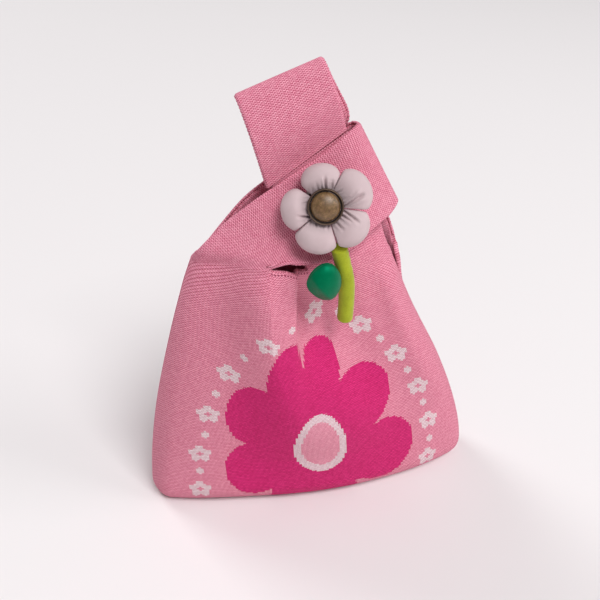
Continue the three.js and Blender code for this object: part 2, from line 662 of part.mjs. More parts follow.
const BACKING_Z = -BACKING_BACK;
function backingPieces() {
  const disc = node('flower_backing', turned([[0, 0], [BACKING_RADIUS, 0], [BACKING_RADIUS, BACKING_THICK],
    [0, BACKING_THICK]], 24), FELT);
  disc.position.z = BACKING_Z;
  const bottom = BACKING_Z + BACKING_THICK + SEAM_GAP;
  const top = UNDER_BUTTON - SHANK_LENGTH - SEAM_GAP;
  const outline = [[0, bottom], [THREAD_RADIUS, bottom], [THREAD_RADIUS, top], [0, top]];
  return [disc, node('centre_thread', turned(outline, 10), FELT)];
}

// Bar pin on the flower's back: a folded sheet bar with an ear at each end, a wire arm and a turning lock.
const PIN_TOP = BACKING_Z - SEAM_GAP;
const ARM_Z = PIN_TOP - PIN_SHEET - WIRE_DROP;
function pinPieces() {
  const half = PIN_LENGTH / 2;
  const foot = ARM_Z - EAR_DROP;
  const side = new THREE.Shape([
    [-half, PIN_TOP],
    [half, PIN_TOP],
    [half, foot],
    [half - PIN_SHEET, foot],
    [half - PIN_SHEET, PIN_TOP - PIN_SHEET],
    [-half + PIN_SHEET, PIN_TOP - PIN_SHEET],
    [-half + PIN_SHEET, foot],
    [-half, foot],
  ].map(([x, y]) => new THREE.Vector2(x, y)));
  const folded = new THREE.ExtrudeGeometry(side, { depth: PIN_WIDTH, bevelEnabled: false });
  folded.rotateX(Math.PI / 2);
  folded.translate(0, PIN_HIGH + PIN_WIDTH / 2, 0);
  const reach = half - PIN_SHEET - SEAM_GAP;
  const wire = [-reach, 0, reach].map((x) => V(x, PIN_HIGH, ARM_Z));
  return [node('pin_bar', closed(folded), STEEL), node('pin_arm', cord(wire, PIN_WIRE, 2, 4), STEEL)];
}

function pinLock() {
  const inner = PIN_WIRE + SEAM_GAP / 2;
  const ring = new THREE.Shape();
  ring.absarc(0, 0, LOCK_RADIUS, radians(20), radians(340));
  ring.lineTo(LOCK_TAB, -LOCK_TAB_THICK / 2);
  ring.lineTo(LOCK_TAB, LOCK_TAB_THICK / 2);
  ring.closePath();
  const bore = new THREE.Path();
  bore.absarc(0, 0, inner, 0, 2 * Math.PI, true);
  ring.holes.push(bore);
  const drawn = { depth: LOCK_LENGTH, bevelEnabled: false, curveSegments: 8 };
  const roller = new THREE.ExtrudeGeometry(ring, drawn);
  roller.rotateX(Math.PI / 2);
  roller.rotateZ(Math.PI / 2);
  const lock = node('pin_lock', closed(roller), STEEL);
  lock.position.set(PIN_LENGTH / 2 - PIN_SHEET - SEAM_GAP - LOCK_LENGTH, PIN_HIGH, ARM_Z);
  return lock;
}

// The flower sits on the short handle: its middle plane stands off the knit by the pin and the backing.
const FLOWER_AT = { q: 0.44, t: 4.37 / 16 };
const facing = V(
  -Math.sin(radians(FLOWER_TURN)) * Math.cos(radians(FLOWER_TILT)),
  -Math.cos(radians(FLOWER_TURN)) * Math.cos(radians(FLOWER_TILT)),
  Math.sin(radians(FLOWER_TILT)),
);
const flowerCentre = shortFace(FLOWER_AT.q, FLOWER_AT.t).addScaledVector(facing, FLOWER_STANDOFF);

// The pin's wire runs through a pinch of knit that stands up from the short handle.
function pinnedBand(band) {
  const round = PINCH_RADIUS;
  const wide = round + PINCH_SPREAD;
  const foot = -FLOWER_STANDOFF - KNIT / 2 - ARM_Z;
  const pinch = new THREE.Shape();
  pinch.moveTo(-wide, foot);
  pinch.lineTo(wide, foot);
  pinch.lineTo(round, -PINCH_ROUND);
  pinch.absarc(0, 0, round, 0, Math.PI);
  pinch.lineTo(-round, -PINCH_ROUND);
  pinch.closePath();
  const bore = new THREE.Path();
  bore.absarc(0, 0, PIN_WIRE + SEAM_GAP, 0, 2 * Math.PI, true);
  pinch.holes.push(bore);
  const drawn = { depth: PINCH_LENGTH, bevelEnabled: false, curveSegments: 6 };
  const fold = new THREE.ExtrudeGeometry(pinch, drawn);
  fold.applyMatrix4(new THREE.Matrix4().makeBasis(V(0, 1, 0), V(0, 0, 1), V(1, 0, 0)));
  fold.translate(-PINCH_LENGTH / 2, PIN_HIGH, ARM_Z);
  const frame = flowerFrame();
  frame.updateMatrix();
  fold.applyMatrix4(frame.matrix);
  const solid = (geometry) => new solids.Manifold(new solids.Mesh({
    numProp: 3,
    vertProperties: geometry.attributes.position.array,
    triVerts: new Uint32Array(geometry.index.array),
  }));
  const made = solid(band).add(solid(closed(fold))).getMesh();
  const whole = new THREE.BufferGeometry();
  whole.setAttribute('position', new THREE.Float32BufferAttribute(made.vertProperties, 3));
  whole.setIndex(Array.from(made.triVerts));
  return closed(whole);
}

function flowerFrame() {
  const right = V(0, 0, 1).cross(facing).normalize();
  const up = facing.clone().cross(right);
  const frame = new THREE.Group();
  frame.setRotationFromMatrix(new THREE.Matrix4().makeBasis(right, up, facing));
  frame.position.copy(flowerCentre);
  return frame;
}

// The stem starts between the two lower petals, behind their middle, and hangs down.
const STEM_FROM = { right: 0.315, down: 0.76, behind: 0.225 };
const STEM_LINE = [
  [0, 0, 0],
  [0.016, 0.004, -0.09],
  [0.055, 0.006, -0.23],
  [0.107, 0.006, -0.46],
  [0.129, 0.024, -0.71],
  [0.131, 0.04, -1],
];
const stemTop = stemStart();
const stemCurve = new THREE.CatmullRomCurve3(
  STEM_LINE.map(([x, y, z]) => V(x, y, z).multiplyScalar(STEM_LENGTH).add(stemTop)),
);

function stemStart() {
  const right = V(0, 0, 1).cross(facing).normalize();
  const up = facing.clone().cross(right);
  return flowerCentre.clone()
    .addScaledVector(right, STEM_FROM.right * PETAL_REACH)
    .addScaledVector(up, -STEM_FROM.down * PETAL_REACH)
    .addScaledVector(facing, -STEM_FROM.behind * PETAL_THICK);
}

function stem() {
  const form = (t, a) => {
    const centre = stemCurve.getPoint(t);
    const heading = stemCurve.getTangent(t);
    const side = V(0, 1, 0).cross(heading).normalize();
    const front = heading.clone().cross(side).normalize();
    const pinch = mix(0.5, 1, smooth(t, 0, 0.18));
    const cap = Math.sqrt(Math.max(1 - Math.max((t - 0.94) / 0.06, 0) ** 2.4, 0));
    const start = smooth(t, -0.01, 0.02);
    const r = STEM_RADIUS * pinch * cap * start;
    return centre.addScaledVector(side, r * Math.cos(a)).addScaledVector(front, r * Math.sin(a) * pinch);
  };
  return node('stem', loft(form, 18, 12), LIME);
}

const leafCentre = stemTop.clone().add(V(-LEAF_LEFT, -LEAF_FRONT, -LEAF_DOWN));
function leaf() {
  const form = (t, a) => {
    const u = Math.cos(Math.PI * t);
    const ring = Math.sqrt(Math.max(1 - u * u, 0));
    const narrow = 1 - 0.16 * smooth(-Math.cos(a) * ring, 0, 1);
    const x = (LEAF_WIDTH / 2) * ring * Math.cos(a);
    const z = (LEAF_HEIGHT / 2) * u * narrow;
    const y = (LEAF_THICK / 2) * ring * Math.sin(a);
    return leafCentre.clone().add(V(x, y, z));
  };
  return node('leaf', loft(form, 12, 14), GREEN);
}

// assembly
const bag = new THREE.Group();
bag.add(panel('front_panel', -1));
bag.add(panel('back_panel', 1));
bag.add(sideSeam('left_side_seam', -1));
bag.add(sideSeam('right_side_seam', 1));
bag.add(bottomSeam());
const frontBand = sheet(shortHalf(shortFace, -1), shortHalf(shortInner, -1), 8, 18);
const backBand = sheet(shortHalf(shortFace, 1), shortHalf(shortInner, 1), 8, 18);
bag.add(node('short_handle_front', pinnedBand(frontBand), PINK));
bag.add(node('short_handle_back', backBand, PINK));
bag.add(leg('long_handle_front_leg', -1));
bag.add(leg('long_handle_back_leg', 1));
const loopOuter = (q, t) => loopPoint(q, t, 0);
const loopInner = (q, t) => loopPoint(q, t, KNIT);
bag.add(node('wrist_loop', sheet(loopOuter, loopInner, 5, 28), PINK));

bag.add(foldSeam('short_handle_seam', shortSeamAt));
bag.add(foldSeam('wrist_loop_seam', (q) => loopPoint(q, 0.5, KNIT + FOLD_SEAM + 2 * SEAM_GAP)));

const flower = flowerFrame();
for (let i = 0; i < PETALS; i += 1) flower.add(petal(`petal_${i + 1}`, i));
flower.add(...buttonPieces(), ...backingPieces(), ...pinPieces(), pinLock());
bag.add(flower);
bag.add(stem(), leaf());

export default bag;
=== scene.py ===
# Knitted knot bag with a stuffed flower charm on its short handle. +Z up, -Y to the front.
# Shapes are worked out in millimetres, as in the part's source, and made in metres.
import math

import bpy
import numpy as np
from mathutils import Matrix, Vector


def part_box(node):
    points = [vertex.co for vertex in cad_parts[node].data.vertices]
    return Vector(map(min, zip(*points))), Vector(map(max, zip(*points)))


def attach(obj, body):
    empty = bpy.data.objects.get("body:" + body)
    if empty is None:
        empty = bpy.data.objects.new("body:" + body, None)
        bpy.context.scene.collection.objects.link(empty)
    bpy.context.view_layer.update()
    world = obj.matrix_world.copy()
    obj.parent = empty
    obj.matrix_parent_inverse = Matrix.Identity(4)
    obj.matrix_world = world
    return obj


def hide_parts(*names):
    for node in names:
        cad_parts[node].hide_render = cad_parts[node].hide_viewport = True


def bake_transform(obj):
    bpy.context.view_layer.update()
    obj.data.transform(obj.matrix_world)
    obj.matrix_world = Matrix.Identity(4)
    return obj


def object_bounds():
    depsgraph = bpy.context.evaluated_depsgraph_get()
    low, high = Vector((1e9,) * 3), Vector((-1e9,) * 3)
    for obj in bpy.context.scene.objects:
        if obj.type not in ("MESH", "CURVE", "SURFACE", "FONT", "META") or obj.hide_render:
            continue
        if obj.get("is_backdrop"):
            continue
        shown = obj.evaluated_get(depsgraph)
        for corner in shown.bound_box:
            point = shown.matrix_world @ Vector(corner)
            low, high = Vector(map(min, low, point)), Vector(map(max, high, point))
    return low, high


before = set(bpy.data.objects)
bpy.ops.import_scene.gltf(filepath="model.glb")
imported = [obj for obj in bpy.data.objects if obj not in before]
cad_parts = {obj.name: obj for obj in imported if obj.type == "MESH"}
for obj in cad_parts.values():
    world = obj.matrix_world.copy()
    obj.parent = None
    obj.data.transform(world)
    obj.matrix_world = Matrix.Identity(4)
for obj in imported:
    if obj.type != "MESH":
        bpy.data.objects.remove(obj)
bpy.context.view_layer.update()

MM = 0.001

# Camera: stands before the left half of the bag and looks down on it, as the photograph does.
CAMERA_AT = Vector((-0.1233, -0.407, 0.420))
CAMERA_TURN = math.radians(15.36)
CAMERA_DOWN = math.radians(33.1)
CAMERA_ROLL = math.radians(-1.6)
ahead = Vector((math.sin(CAMERA_TURN), math.cos(CAMERA_TURN), 0))
sideways = Vector((math.cos(CAMERA_TURN), -math.sin(CAMERA_TURN), 0))
look = ahead * math.cos(CAMERA_DOWN) - Vector((0, 0, 1)) * math.sin(CAMERA_DOWN)
below = -ahead * math.sin(CAMERA_DOWN) - Vector((0, 0, 1)) * math.cos(CAMERA_DOWN)
right = sideways * math.cos(CAMERA_ROLL) + below * math.sin(CAMERA_ROLL)
up = sideways * math.sin(CAMERA_ROLL) - below * math.cos(CAMERA_ROLL)
lens = bpy.data.cameras.new("camera")
lens.sensor_width = 36
lens.lens = 47.4
lens.clip_start = 0.01
camera = bpy.data.objects.new("camera", lens)
camera.matrix_world = Matrix.Translation(CAMERA_AT) @ Matrix((right, up, -look)).transposed().to_4x4()
bpy.context.scene.collection.objects.link(camera)
bpy.context.scene.camera = camera


# Knitted bag: front and back
# Each side is one piece of double jacquard knit, 3 mm thick. It grows from the bottom seam over the base into
# its half of the short handle and its leg of the long handle. The two are linked along the sides and bottom.
KNIT = 3.0
BODY_HEIGHT = 190.0
BASE_RISE = 17.0            # the wall starts this far above the floor
BASE_TURN = 14.0            # how far the rounding from base to wall reaches in
BASE_SEAM = 4.0             # the bottom seam runs this far behind the middle
BASE_SHARE = 0.16           # share of a panel's length that lies on the floor
WALL_SHARE = 0.34           # share at which the rounding ends and the wall starts
CORNER = 0.045              # share of the width that rounds over to a side seam
FLANK = 12.0                # half of the narrow side, front and back of the seam
FLANK_TOP = 3.0             # the same at the shoulders
FRONT_CROWN = (30.0, 24.0)  # how far the front swells beyond the flank: at its fullest, and on the floor
BACK_CROWN = (28.0, 23.0)
TOP_CROWN = 14.0            # swell left at the neck
BACK_FOLD = 9.0             # height of the soft fold in the back
BACK_SHOULDER = 5.0         # the back's right shoulder stands out beyond the front's
NECK_START = 0.34           # share of the width where the short handle ends and the slit begins
LEG_START = 0.55            # share of the width where the long handle starts
STRAP_WIDTH = 52.0
KNOT = np.array([-15.0, -9.0, 251.0])
KNOT_SLOPE = 33.5           # at the knot the short handle's upper edge rises to the right by this angle
KNOT_LINE = math.radians(KNOT_SLOPE)
LEG_TOP = 5.2               # a leg's last row lies this far below that line
LEG_OUT = 5.0               # outer face of a leg inside the knot, from the middle plane
WRAP = 8.7                  # outer face of the short handle round it


def smooth(t, a, b):
    k = np.clip((t - a) / (b - a), 0, 1)
    return k * k * (3 - 2 * k)


def mix(a, b, t):
    return a + (b - a) * t


def profile(points, at):
    """Smooth curve through [position, value] pairs."""
    p, v = np.array(points, float).T
    at = np.clip(np.asarray(at, float), p[0], p[-1])
    slope = np.gradient(v, p, edge_order=1)
    slope[1:-1] = (v[2:] - v[:-2]) / (p[2:] - p[:-2])
    i = np.clip(np.searchsorted(p, at, side="left") - 1, 0, len(p) - 2)
    span = p[i + 1] - p[i]
    t = (at - p[i]) / span
    rise = span * (slope[i] * t * (1 - t) ** 2 - slope[i + 1] * t * t * (1 - t))
    return mix(v[i], v[i + 1], t * t * (3 - 2 * t)) + rise


# Half widths of the bag at each height, and the top edge above the shoulders at each share across.
SEAM_LEFT = [[0, 112], [12, 115], [62.7, 109.71], [131.1, 96.23], [172, 86], [190, 80]]
SEAM_RIGHT = [[0, 112], [12, 115], [45.6, 106.64], [89.3, 88.4], [142.5, 60.28], [190, 39]]
TOP_EDGE = [[0, -1], [0.17, 2], [0.34, 3], [0.352, 1.6], [0.42, -0.6], [0.47, -4], [0.505, -7.5], [0.55, -9],
            [1, -12]]
# The knot pulls up a fold in front, whose right side drops steeply beside the slit and runs out lower down.
# At each share of the height: where its crest and its drop lie, half the drop's width, and its own height.
FOLD_CREST = [[0.2, 0.5], [0.32, 0.47], [0.45, 0.42], [0.58, 0.38], [0.74, 0.35], [1, 0.335]]
FOLD_DROP = [[0.3, 0.62], [0.45, 0.55], [0.63, 0.492], [0.75, 0.468], [0.85, 0.47], [0.93, 0.482], [1, 0.503]]
FOLD_REACH = [[0.3, 0.25], [0.58, 0.1], [0.72, 0.035], [0.85, 0.012], [1, 0.007]]
FOLD_RISE = [[0.22, 0], [0.45, 8], [0.63, 13], [0.8, 17], [0.9, 18], [1, 13]]
# The wall sinks in on both sides of the fold, and stands up again towards the right side seam. For each:
# where it lies across at each share of the height, how wide it is, and how deep at each share of the height.
FRONT_HOLLOWS = [
    ([[0.1, 0.28], [0.45, 0.26], [0.8, 0.19], [1, 0.15]], 0.1,
     [[0.06, 0], [0.25, 4], [0.6, 5], [0.85, 5], [1, 2]]),
    ([[0.1, 0.74], [0.42, 0.76], [0.65, 0.68], [0.85, 0.62], [1, 0.6]], 0.12,
     [[0.06, 0], [0.25, 4], [0.45, 6.5], [0.7, 8], [0.88, 8], [1, 3]]),
    ([[0, 0.92], [1, 0.92]], 0.065, [[0.3, 0], [0.55, -4.5], [0.85, -5.5], [0.97, 0]]),
]


def flank(z):
    return mix(FLANK, FLANK_TOP, smooth(z / BODY_HEIGHT, 0.3, 1))


def swell(front, s, z):
    """How far the outer face stands out from the seams' plane, at share s of the width."""
    high = z / BODY_HEIGHT
    near = np.minimum(np.minimum(s, 1 - s) / CORNER, 1)
    corner = np.sqrt(np.clip(1 - (1 - near) ** 2, 0, 1))
    full, low = FRONT_CROWN if front else BACK_CROWN
    crown = profile([[0, low], [0.12, full * 0.86], [0.42, full], [0.74, (full + TOP_CROWN) / 2],
                     [1, TOP_CROWN]], high)
    lean = 0.2 * (1 - high) if front else 0
    bow = (4 * s * (1 - s)) ** 0.7 * (1 + lean * (2 * s - 1))
    if front:
        crest = profile(FOLD_CREST, high)
        drop = profile(FOLD_DROP, high)
        reach = profile(FOLD_REACH, high)
        rising = np.exp(-((np.minimum(s - crest, 0) / 0.2) ** 2))
        sloping = 1 - 0.42 * np.clip((s - crest) / (drop - crest), 0, 1)
        fold = profile(FOLD_RISE, high) * rising * sloping * (1 - smooth(s, drop - reach, drop + reach))
        for line, wide, deep in FRONT_HOLLOWS:
            fold -= profile(deep, high) * np.exp(-(((s - profile(line, high)) / wide) ** 2))
    else:
        crest = mix(0.5, 0.44, smooth(high, 0.5, 1))
        falling = np.where(s < crest, 0.24, mix(0.26, 0.055, smooth(high, 0.45, 0.95)))
        fold = BACK_FOLD * smooth(high, 0.42, 1) * np.exp(-(((s - crest) / falling) ** 2))
    return flank(z) * corner + crown * bow + fold


def panel_face(front, s, w):
    """Outer face: share s across, share w from the bottom seam (0) over the base to the top edge (1)."""
    s, w = np.meshgrid(s, w)
    side = -1 if front else 1
    on_floor = w < BASE_SHARE
    turning = w < WALL_SHARE
    wall = swell(front, s, np.full(s.shape, BASE_RISE))
    turn = np.minimum(BASE_TURN, wall * 0.5)
    bend = np.clip((w - BASE_SHARE) / (WALL_SHARE - BASE_SHARE), 0, 1) * math.pi / 2
    top = BODY_HEIGHT + profile(TOP_EDGE, s)
    rising = mix(BASE_RISE, top, (w - WALL_SHARE) / (1 - WALL_SHARE))
    z = np.where(on_floor, 0, np.where(turning, BASE_RISE * (1 - np.cos(bend)), rising))
    rounded = wall - turn + turn * np.sin(bend)
    depth = np.where(turning, rounded, swell(front, s, z))
    depth = np.where(on_floor, (wall - turn) * (w / BASE_SHARE), depth)
    wide = 0 if front else BACK_SHOULDER * smooth(z / BODY_HEIGHT, 0.8, 0.95) * s ** 4
    x = mix(-profile(SEAM_LEFT, z), profile(SEAM_RIGHT, z) + wide, s)
    # The bottom seam swings back from the corners, and the floor's cloth goes with it.
    seam = BASE_SEAM * smooth(np.minimum(s, 1 - s), 0, 0.06) * np.maximum(1 - w / BASE_SHARE, 0)
    y = flank(z) - FLANK + side * np.maximum(depth, 0.05) + seam
    return np.stack([x, y, z], -1), s, w


def curve(points, at):
    """Centripetal curve through the points, at shares of the way."""
    points = np.array(points, float)
    points = np.vstack([2 * points[0] - points[1], points, 2 * points[-1] - points[-2]])
    place = np.clip(np.asarray(at, float), 0, 1) * (len(points) - 3)
    i = np.minimum(place.astype(int), len(points) - 4)
    t = (place - i)[:, None]
    p0, p1, p2, p3 = points[i], points[i + 1], points[i + 2], points[i + 3]
    d0, d1, d2 = [np.maximum(np.linalg.norm(b - a, axis=1) ** 0.5, 1e-3)[:, None]
                  for a, b in ((p0, p1), (p1, p2), (p2, p3))]
    t1 = ((p1 - p0) / d0 - (p2 - p0) / (d0 + d1) + (p2 - p1) / d1) * d1
    t2 = ((p2 - p1) / d1 - (p3 - p1) / (d1 + d2) + (p3 - p2) / d2) * d1
    return p1 + t1 * t + (-3 * p1 + 3 * p2 - 2 * t1 - t2) * t ** 2 + (2 * p1 - 2 * p2 + t1 + t2) * t ** 3


# A row of a strap: x and z of its middle from the knot, slope, how far each edge stands out, share of width.
SHORT_ROWS = [
    (-45.5, -58, 9, -WRAP + 7, -WRAP - 24, 0.92),
    (-39, -52.3, -4.7, -WRAP, -WRAP - 23.5, 0.96),
    (-28.5, -47.2, -19.5, -WRAP, -WRAP - 22, 0.97),
    (-12.5, -41.1, -40.5, -WRAP, -WRAP - 19.5, 0.99),
    (5, -34.3, -55, -WRAP, -WRAP - 16, 1.06),
    (20.5, -25.4, -65.4, -WRAP, -WRAP - 11, 1.08),
    (33, -17.8, -68, -WRAP, -WRAP - 5, 1.13),
    (41.8, -14.3, -66.5, -WRAP + 2.5, -WRAP + 2, 1.18),
    (46.5, -12, -61.2, 0, 0, 1.12),
    (42.5, -15, -66.5, WRAP - 1.7, WRAP - 1, 1.13),
    (33, -19.4, -67, WRAP, WRAP + 3, 1.1),
    (19, -27.4, -65, WRAP, WRAP + 6, 1.06),
    (3, -36.5, -57, WRAP, WRAP + 9, 1.02),
    (-14, -44.5, -43, WRAP, WRAP + 11, 0.92),
    (-28, -52, -18, WRAP, WRAP + 14, 0.8),
    (-37.5, -56.5, 2, WRAP - 3, WRAP + 16, 0.85),
    (-45.5, -58.5, 9, WRAP - 7, WRAP + 17, 0.88),
]
LEG_END = (LEG_TOP * math.sin(KNOT_LINE), -LEG_TOP * math.cos(KNOT_LINE), KNOT_SLOPE)
FRONT_LEG = [
    (28.7, -70, -5.5, -17, -2, 1.2),
    (22.2, -52.5, -6.6, -12.5, -3.5, 1.16),
    (15.5, -35, -2, -8.5, -5, 1.09),
    (9, -18.5, 7.7, -5, -5, 1.01),
    (*LEG_END, -LEG_OUT, -LEG_OUT, 1),
]
BACK_LEG = [
    (31.5, -70, -5.5, 17, 2, 1.3),
    (27, -52.5, -6.6, 9, 3.5, 1.28),
    (18.3, -35, -2, 5.5, 5, 1.12),
    (9.5, -18.5, 7.7, 5, 5, 1.02),
    (*LEG_END, LEG_OUT, LEG_OUT, 1),
]


def strap_face(rows, q, t, foot, reach):
    """Outer face of a strap: q across, t along its rows. At t[0] it grows out of the panel's edge, foot."""
    edges = []
    for sign in (-1, 1):
        line = []
        for x, z, slope, out_low, out_high, wide in rows:
            half = sign * math.sqrt(max((STRAP_WIDTH * wide) ** 2 - (out_high - out_low) ** 2, 1)) / 2
            slope = math.radians(slope)
            out = out_low if sign < 0 else out_high
            line.append(KNOT + [x + half * math.cos(slope), out, z + half * math.sin(slope)])
        edges.append(curve(line, t)[:, None, :])
    plain = mix(edges[0], edges[1], q[None, :, None])
    pull = 1 - smooth(np.abs(t - t[0]), 0, reach)
    return plain + pull[:, None, None] * (foot - plain[0])[None]


def spaced(a, b, step):
    return np.linspace(a, b, max(int(round((b - a) / step)), 1) + 1)[:-1]


# Columns lie closer together where the sides turn and beside the free edges at the neck slit.
turned = CORNER * (1 - np.cos(np.linspace(0, math.pi / 2, 9)))[:-1]
COLUMNS = np.concatenate([
    turned, spaced(CORNER, 0.328, 0.0088), [0.328, 0.333, 0.3365, 0.339, NECK_START, 0.341, 0.3435, 0.347],
    spaced(0.352, 0.43, 0.0085), spaced(0.43, 0.455, 0.005), spaced(0.455, 0.515, 0.0016),
    spaced(0.515, 0.538, 0.007), [0.538, 0.543, 0.5465, 0.549, LEG_START, 0.551, 0.5535, 0.557],
    spaced(0.562, 0.955, 0.0092), 1 - turned[::-1], [1.0],
])
COLUMNS = np.unique(np.round(COLUMNS, 6))
ROWS = np.concatenate([
    spaced(0, BASE_SHARE, 0.02), spaced(BASE_SHARE, WALL_SHARE, 0.0129), spaced(WALL_SHARE, 0.975, 0.0072),
    [0.975, 0.982, 0.988, 0.993, 0.997, 1.0],
])
neck = int(np.argmin(abs(COLUMNS - NECK_START)))
leg = int(np.argmin(abs(COLUMNS - LEG_START)))


def lengths(grid, axis):
    """Distance run along a grid of points, from its first row or column."""
    step = np.linalg.norm(np.diff(grid, axis=axis), axis=-1)
    return np.concatenate([np.zeros_like(np.take(step, [0], axis)), np.cumsum(step, axis)], axis)


def across(grid):
    """Distance across, from the middle of each row."""
    run = lengths(grid, 1)
    return run - run[:, -1:] / 2


def chosen(piece):
    """Selects this piece alone and makes it the active one."""
    bpy.ops.object.select_all(action="DESELECT")
    piece.select_set(True)
    bpy.context.view_layer.objects.active = piece


def new_piece(name, points, faces, edges=()):
    """A piece from points in millimetres."""
    mesh = bpy.data.meshes.new(name)
    mesh.from_pydata((np.array(points, float) * MM).tolist(), edges, faces)
    piece = bpy.data.objects.new(name, mesh)
    bpy.context.scene.collection.objects.link(piece)
    return piece


WELD = 0.00001              # points closer than this are one, in metres


def face_outwards(piece, weld=False):
    """Turns the faces of a closed piece outwards, after its doubles are merged if weld is set."""
    chosen(piece)
    bpy.ops.object.mode_set(mode="EDIT")
    bpy.ops.mesh.select_all(action="SELECT")
    if weld:
        bpy.ops.mesh.remove_doubles(threshold=WELD)
    bpy.ops.mesh.normals_make_consistent(inside=False)
    bpy.ops.object.mode_set(mode="OBJECT")


def finish(piece):
    """Applies the piece's modifiers and smooths its shading."""
    chosen(piece)
    for modifier in list(piece.modifiers):
        bpy.ops.object.modifier_apply(modifier=modifier.name)
    bpy.ops.object.shade_smooth()
    return piece


def joined(piece, others):
    """Adds the others to this piece."""
    chosen(piece)
    for other in others:
        other.select_set(True)
    bpy.ops.object.join()
    return piece


FAR_IN = 9.0                # further than this from a free edge, the edge doesn't matter
NOWHERE = 900.0             # a place that neither the motif nor a free edge reaches


def map_knit(piece, stitches, motif=None, beside=None):
    """Gives each point its place in the stitches, on the motif, and beside and along a free edge."""
    corners = np.empty(len(piece.data.loops), int)
    piece.data.loops.foreach_get("vertex_index", corners)
    elsewhere = np.full((len(piece.data.vertices), 2), NOWHERE)
    for title, places in (("stitches", stitches), ("motif", motif), ("edge", beside)):
        places = elsewhere if places is None else np.array(places)
        layer = piece.data.uv_layers.new(name=title)
        layer.data.foreach_set("uv", (places[corners] * MM).ravel())


ROLL = 1.6                  # the knit rolls round over this distance from a free edge
THINNED = 0.72              # share of its thickness that it loses there


class Cloth:
    """Grids of knit that share their joining edges, with the stitch lines and the place of the motif."""

    def __init__(self):
        self.points, self.faces, self.stitches, self.motif, self.beside = [], [], [], [], []

    def add(self, grid, stitches, edge, motif=None, along=None, shared=None):
        """Adds a grid. Its first row is the row of points in shared, if that is given."""
        motif = np.full(stitches.shape, NOWHERE) if motif is None else motif
        along = np.zeros(edge.shape) if along is None else along
        first = 0 if shared is None else 1
        rows, columns = grid.shape[:2]
        index = np.empty((rows, columns), int)
        if first:
            index[0] = shared
        count = (rows - first) * columns
        index[first:] = len(self.points) + np.arange(count).reshape(rows - first, columns)
        self.points.extend(grid[first:].reshape(-1, 3).tolist())
        self.stitches.extend(stitches[first:].reshape(-1, 2).tolist())
        self.motif.extend(motif[first:].reshape(-1, 2).tolist())
        self.beside.extend(np.stack([edge, along], -1)[first:].reshape(-1, 2).tolist())
        quads = np.stack([index[:-1, :-1], index[:-1, 1:], index[1:, 1:], index[1:, :-1]], -1)
        self.faces.extend(quads.reshape(-1, 4).tolist())
        return index

    def piece(self, name, outward):
        made = new_piece(name, self.points, self.faces if outward else [f[::-1] for f in self.faces])
        # The knit rolls round at its free edges: the outer face dips there and the cloth gets thinner.
        inward = np.clip(np.array(self.beside)[:, 0] / ROLL, 0, 1)
        rolled = 1 - np.sqrt(np.clip(1 - (1 - inward) ** 2, 0, 1))
        normals = np.empty(len(self.points) * 3)
        made.data.vertices.foreach_get("normal", normals)
        dip = normals.reshape(-1, 3) * rolled[:, None] * KNIT * THINNED / 2
        made.data.vertices.foreach_set("co", ((np.array(self.points) - dip) * MM).ravel())
        group = made.vertex_groups.new(name="thickness")
        for i, share in enumerate(1 - THINNED * rolled):
            group.add([i], float(share), "REPLACE")
        map_knit(made, self.stitches, self.motif, self.beside)
        thicken = made.modifiers.new("thickness", "SOLIDIFY")
        thicken.thickness = KNIT * MM
        thicken.offset = -1
        thicken.vertex_group = "thickness"
        return finish(made)


EDGE_INSET = 0.45           # the edge loops lie this far inside the free edge


def face_edge(face, front):
    """The line that the edge loops run along: inside the cloth, under the first column of a grid."""
    along = np.gradient(face[:, 0], axis=0)
    normal = np.cross(face[:, 1] - face[:, 0], along)
    normal /= np.linalg.norm(normal, axis=1)[:, None]
    towards = face[:, 3] - face[:, 0]
    towards /= np.linalg.norm(towards, axis=1)[:, None]
    side = np.sign(np.median(normal[:5, 1])) * (1 if front else -1)
    return face[:, 0] + normal * side * KNIT / 2 + towards * EDGE_INSET


def closed_rings(name, grid, ends):
    """A closed piece from rings of points, with a point at each end, facing outwards."""
    rings, sides = grid.shape[:2]
    count = rings * sides
    last = count - sides
    faces = []
    for k in range(sides):
        after = (k + 1) % sides
        for ring in range(0, last, sides):
            faces.append((ring + k, ring + after, ring + after + sides, ring + k + sides))
        faces.append((count, after, k))
        faces.append((count + 1, last + k, last + after))
    piece = new_piece(name, np.concatenate([grid.reshape(-1, 3), ends]), faces)
    face_outwards(piece)
    return piece


LOOP_PITCH = 2.1            # from one cast-off loop or linking stitch to the next
EDGE_LOOP = 0.85            # radius of the edge loops


def rope(name, line, radius, depth, twist=0.0):
    """A cord along a line, with a bump for each stitch."""
    sides = 8
    run = lengths(line[:, None], 0)[:, 0]
    at = np.linspace(0, run[-1], int(run[-1] / (LOOP_PITCH / 6)) + 2)
    centre = np.stack([np.interp(at, run, line[:, i]) for i in range(3)], -1)
    heading = np.gradient(centre, axis=0)
    heading /= np.linalg.norm(heading, axis=1)[:, None]
    aside = [np.cross(heading[0], [0.31, 0.87, 0.38])]
    for way in heading:
        turned_on = aside[-1] - way * aside[-1].dot(way)
        aside.append(turned_on / np.linalg.norm(turned_on))
    aside = np.array(aside[1:])
    front = np.cross(heading, aside)
    angle = np.arange(sides) * math.tau / sides
    bump = 1 - depth * (1 - np.abs(np.sin(at[:, None] * math.pi / LOOP_PITCH + twist * angle[None])))
    thick = np.interp(at, run, np.broadcast_to(radius, len(run)))[:, None, None] * bump[..., None]
    round_way = np.cos(angle)[None, :, None] * aside[:, None] + np.sin(angle)[None, :, None] * front[:, None]
    piece = closed_rings(name, centre[:, None] + thick * round_way, [centre[0], centre[-1]])
    stitches = np.stack([np.tile(angle, len(at)), np.repeat(at, sides)], -1)
    map_knit(piece, np.concatenate([stitches, [[0, 0], [0, run[-1]]]]))
    return finish(piece)


